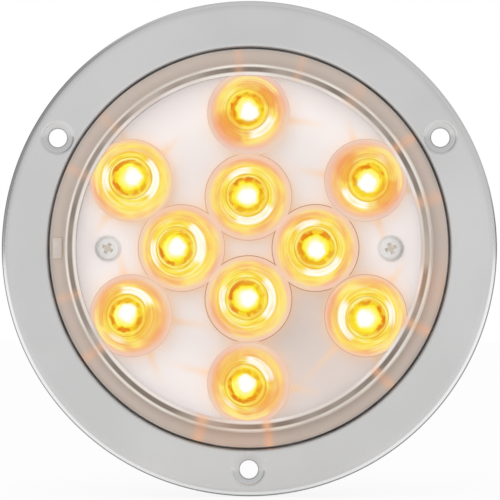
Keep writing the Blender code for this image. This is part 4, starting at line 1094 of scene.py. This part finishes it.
class LAMP_OT_fixings(Operator):
    """Make the cross-head screws and washers that hold the boards, and finish the sleeves"""

    bl_idname = "lamp.fixings"
    bl_label = "Board Fixings"

    def execute(self, context):
        # Bright zinc on rolled steel: a pale bluish white metal, softly clouded by the plating bath.
        zinc = grained("steel, cold formed and bright zinc plated", linear("#E9EAEE"), 0.5, 0.1,
                       speck_mm=0.9, relief_mm=0.02, mottle=0.05)
        # The driver's recess is punched, so it is rougher, and it is painted a darker, warmer grey as painted
        # shade.
        recess = grained("steel, punched and zinc plated, painted darker as shade", linear("#DBD5CC"), 0.6, 0.1,
                         speck_mm=0.5, relief_mm=0.03, mottle=0.12)
        end = SCREW_BOX[1].y
        washer_low, washer_high = WASHER_BOX
        seat = washer_low.y - 0.0003
        head, shank = 0.0031, 0.00145
        side = seat - 0.0010
        crown = [(head * i / 12, side - 0.0004 * (1 - (i / 12) ** 6)) for i in range(12)]
        corners = [(0.0, side, 0.0), (head, side, 0.0002), (head, seat, 0.0001), (shank, seat, 0.0),
                   (shank, end - shank, 0.0), (shank / 2, end, 0.0), (0.0, end, 0.0)]
        outline = crown + rounded(corners, closed=False)[1:]
        washer = rounded([(0.00175, washer_low.y, 0.0001), (0.0037, washer_low.y, 0.0002),
                          (0.0037, washer_high.y, 0.0001), (0.00175, washer_high.y, 0.0001)])
        for name, turn in (("left", 62.0), ("right", 20.0)):
            near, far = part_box(f"board_screw_{name}")
            place = ((near.x + far.x) / 2, 0.0, 0.0)
            top = side - 0.0005
            wings = [lofted([[(x * half, level, z * 0.0005) for x, z in ((1, 1), (-1, 1), (-1, -1), (1, -1))]
                             for level, half in ((top, 0.0017), (top + 0.0006, 0.0012))])
                     for wing in range(2)]
            bmesh.ops.rotate(wings[1], cent=(0, 0, 0), verts=wings[1].verts,
                             matrix=Matrix.Rotation(math.radians(90), 3, "Y"))
            for face in [*wings[0].faces, *wings[1].faces]:
                face.material_index = 1
            screw = combined(turned(outline, around(SMALL_TURN), closed=False), ("DIFFERENCE", wings[0]),
                             ("DIFFERENCE", wings[1]))
            settle(f"screw_{name}", screw, [zinc, recess], "lamp_unit", [f"board_screw_{name}"],
                   place=place, turn=math.radians(turn))
            settle(f"washer_{name}", turned(washer, around(SMALL_TURN)), zinc, "lamp_unit",
                   [f"board_washer_{name}"], place=place)
        # Nickel over turned brass is a warm bright metal.
        nickel = grained("brass sleeve, turned and nickel plated", linear("#CFC8B6"), 0.28, 1.0,
                         speck_mm=0.6, relief_mm=0.01, mottle=0.06)
        coat_solids(["board_spacer_left", "board_spacer_right"], nickel)
        return {"FINISHED"}


class LAMP_OT_driver(Operator):
    """Finish the driver board and the parts on it"""

    bl_idname = "lamp.driver"
    bl_label = "Driver Board"

    def execute(self, context):
        # Green mask over glass cloth: a glossy film with the weave just showing through.
        coat_solids(["driver_board"], grained("glass epoxy board under green mask", linear("#1F6B3A"), 0.35, 0.0,
                                              speck_mm=0.9, relief_mm=0.01, mottle=0.18))
        # Unfilled nylon is a waxy off-white.
        coat_solids(["board_connector"], grained("natural nylon, moulded", linear("#E6E2D2"), 0.45, 0.0,
                                                 speck_mm=1.5, relief_mm=0.01, mottle=0.04))
        # Sintered ferrite is a dull near-black stone.
        coat_solids(["driver_choke"], grained("ferrite, pressed and sintered", linear("#38383A"), 0.62, 0.0,
                                              speck_mm=0.3, relief_mm=0.03, mottle=0.2))
        # A drawn can is bright aluminium with faint rings.
        coat_solids(["driver_capacitor"], grained("aluminium can, drawn", linear("#D8D8D8"), 0.28, 1.0,
                                                  speck_mm=0.7, relief_mm=0.01, mottle=0.05))
        # Moulded epoxy packages are matt charcoal.
        coat_solids(["controller_chip", "power_transistor", "surge_diode"],
                    grained("black epoxy package, moulded", linear("#242426"), 0.5, 0.0,
                            speck_mm=0.25, relief_mm=0.02, mottle=0.15))
        return {"FINISHED"}


class LAMP_OT_stage(Operator):
    """Set the lamp on a pale floor in soft studio light, with the camera before it"""

    bl_idname = "lamp.stage"
    bl_label = "Studio Stage"

    def execute(self, context):
        scene = context.scene
        stage = scene.lamp.stage
        level = FLANGE_BOX[0].z - 0.0001
        bm = bmesh.new()
        bmesh.ops.create_grid(bm, x_segments=1, y_segments=1, size=3.0)
        mesh = bpy.data.meshes.new("floor")
        bm.to_mesh(mesh)
        bm.free()
        floor = bpy.data.objects.new("floor", mesh)
        floor.location = (0.0, 0.0, level)
        scene.collection.objects.link(floor)
        # White painted board: it shows as the white background, and takes the lamp's soft shadow.
        made, tree = new_finish("white board, painted matt")
        rays = add_node(tree, "LightPath")
        seen = add_node(tree, "Math", (rays.outputs["Is Camera Ray"], rays.outputs["Is Transmission Ray"]),
                        operation="ADD", use_clamp=True)
        gleam = add_node(tree, "Math", (rays.outputs["Is Glossy Ray"], 0.45), operation="MULTIPLY")
        share = add_node(tree, "Math", (seen, 0.86, gleam), operation="MULTIPLY_ADD")
        paint = add_node(tree, "BsdfDiffuse", {"Color": (1.0, 1.0, 1.0, 1.0)})
        white = add_node(tree, "Emission", {"Color": (1.0, 1.0, 1.0, 1.0), "Strength": 1.0})
        both = add_node(tree, "MixShader", (share, paint, white))
        add_node(tree, "OutputMaterial", {"Surface": both})
        mesh.materials.append(made)

        world = bpy.data.worlds.new("studio")
        world.use_nodes = True
        tree = world.node_tree
        tree.nodes.clear()
        # White behind the lamp and in clear pieces. Polished pieces mirror a grey room that is brightest low on
        # the right and darkest high on the left.
        white = (1.0, 1.0, 1.0, 1.0)
        rays = add_node(tree, "LightPath")
        where = add_node(tree, "TexCoord")
        ahead = add_node(tree, "VectorMath", (where.outputs["Generated"], (0.0, -1.0, 0.0)),
                         operation="DOT_PRODUCT")
        front = add_node(tree, "MapRange", (ahead, 0.05, 0.6), interpolation_type="SMOOTHSTEP")
        low = add_node(tree, "VectorMath", (where.outputs["Generated"], (0.5, 0.0, -0.87)),
                       operation="DOT_PRODUCT")
        lit = add_node(tree, "MapRange", (low, 0.6, 0.97, 0.56, 1.0), interpolation_type="SMOOTHSTEP")
        beside = add_node(tree, "VectorMath", (where.outputs["Generated"], (-0.87, 0.0, 0.5)),
                          operation="DOT_PRODUCT")
        left = add_node(tree, "MapRange", (beside, 0.7, 0.95, 1.0, 0.5), interpolation_type="SMOOTHSTEP")
        sides = add_node(tree, "Math", (lit, left), operation="MULTIPLY")
        room = add_node(tree, "Mix", (front, sides, 0.80), data_type="FLOAT")
        ambient = add_node(tree, "Background", {"Color": white, "Strength": stage.ambient})
        mirrored = add_node(tree, "Background", {"Color": white, "Strength": room})
        backdrop = add_node(tree, "Background", {"Color": white, "Strength": 1.0})
        glossy = add_node(tree, "MixShader", (rays.outputs["Is Glossy Ray"], ambient, mirrored))
        seen = add_node(tree, "Math", (rays.outputs["Is Camera Ray"], rays.outputs["Is Transmission Ray"]),
                        operation="ADD", use_clamp=True)
        both = add_node(tree, "MixShader", (seen, glossy, backdrop))
        add_node(tree, "OutputWorld", {"Surface": both})
        scene.world = world

        target = Vector((0.00035, FLANGE_BOX[0].y, -0.0005))
        light = bpy.data.lights.new("key", "AREA")
        light.energy = stage.key_power
        light.shape = "DISK"
        light.size = 0.6
        key = bpy.data.objects.new("key", light)
        key.location = (-0.18, -0.86, 0.30)
        key.rotation_euler = (target - key.location).to_track_quat("-Z", "Y").to_euler()
        key.visible_glossy = False
        scene.collection.objects.link(key)

        lens = bpy.data.cameras.new("camera")
        lens.sensor_fit = "HORIZONTAL"
        lens.sensor_width = 36.0
        lens.lens = 36.0 * stage.distance / stage.view_width
        camera = bpy.data.objects.new("camera", lens)
        away = Vector((math.sin(stage.azimuth) * math.cos(stage.elevation),
                       -math.cos(stage.azimuth) * math.cos(stage.elevation), math.sin(stage.elevation)))
        camera.location = target + away * stage.distance
        camera.rotation_euler = (-away).to_track_quat("-Z", "Y").to_euler()
        scene.collection.objects.link(camera)
        scene.camera = camera
        scene.view_settings.view_transform = "Standard"
        return {"FINISHED"}


OPERATORS = (
    LAMP_OT_stage, LAMP_OT_flange, LAMP_OT_seat_ring, LAMP_OT_clips, LAMP_OT_housing, LAMP_OT_terminals,
    LAMP_OT_lens, LAMP_OT_board, LAMP_OT_optics, LAMP_OT_diodes, LAMP_OT_fixings, LAMP_OT_driver,
)


class LAMP_PT_panel(Panel):
    bl_label = "Round Warning Lamp"
    bl_idname = "LAMP_PT_panel"
    bl_space_type = "VIEW_3D"
    bl_region_type = "UI"
    bl_category = "Lamp"

    def draw(self, context):
        lamp = context.scene.lamp
        for operator in OPERATORS:
            self.layout.operator(operator.bl_idname)
        for name in ("flange", "lens", "optic", "housing", "finish", "stage"):
            box = self.layout.box()
            group = getattr(lamp, name)
            for key in group.__annotations__:
                box.prop(group, key)


CLASSES = (FlangeSizes, LensSizes, OpticSizes, HousingSizes, Finishes, StageSettings, Lamp,
           *OPERATORS, LAMP_PT_panel)


def register():
    for one in CLASSES:
        bpy.utils.register_class(one)
    bpy.types.Scene.lamp = PointerProperty(type=Lamp)


def unregister():
    del bpy.types.Scene.lamp
    for one in reversed(CLASSES):
        bpy.utils.unregister_class(one)


def main():
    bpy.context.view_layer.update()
    register()
    for operator in OPERATORS:
        group, name = operator.bl_idname.split(".")
        getattr(getattr(bpy.ops, group), name)()


if __name__ == "__main__":
    main()
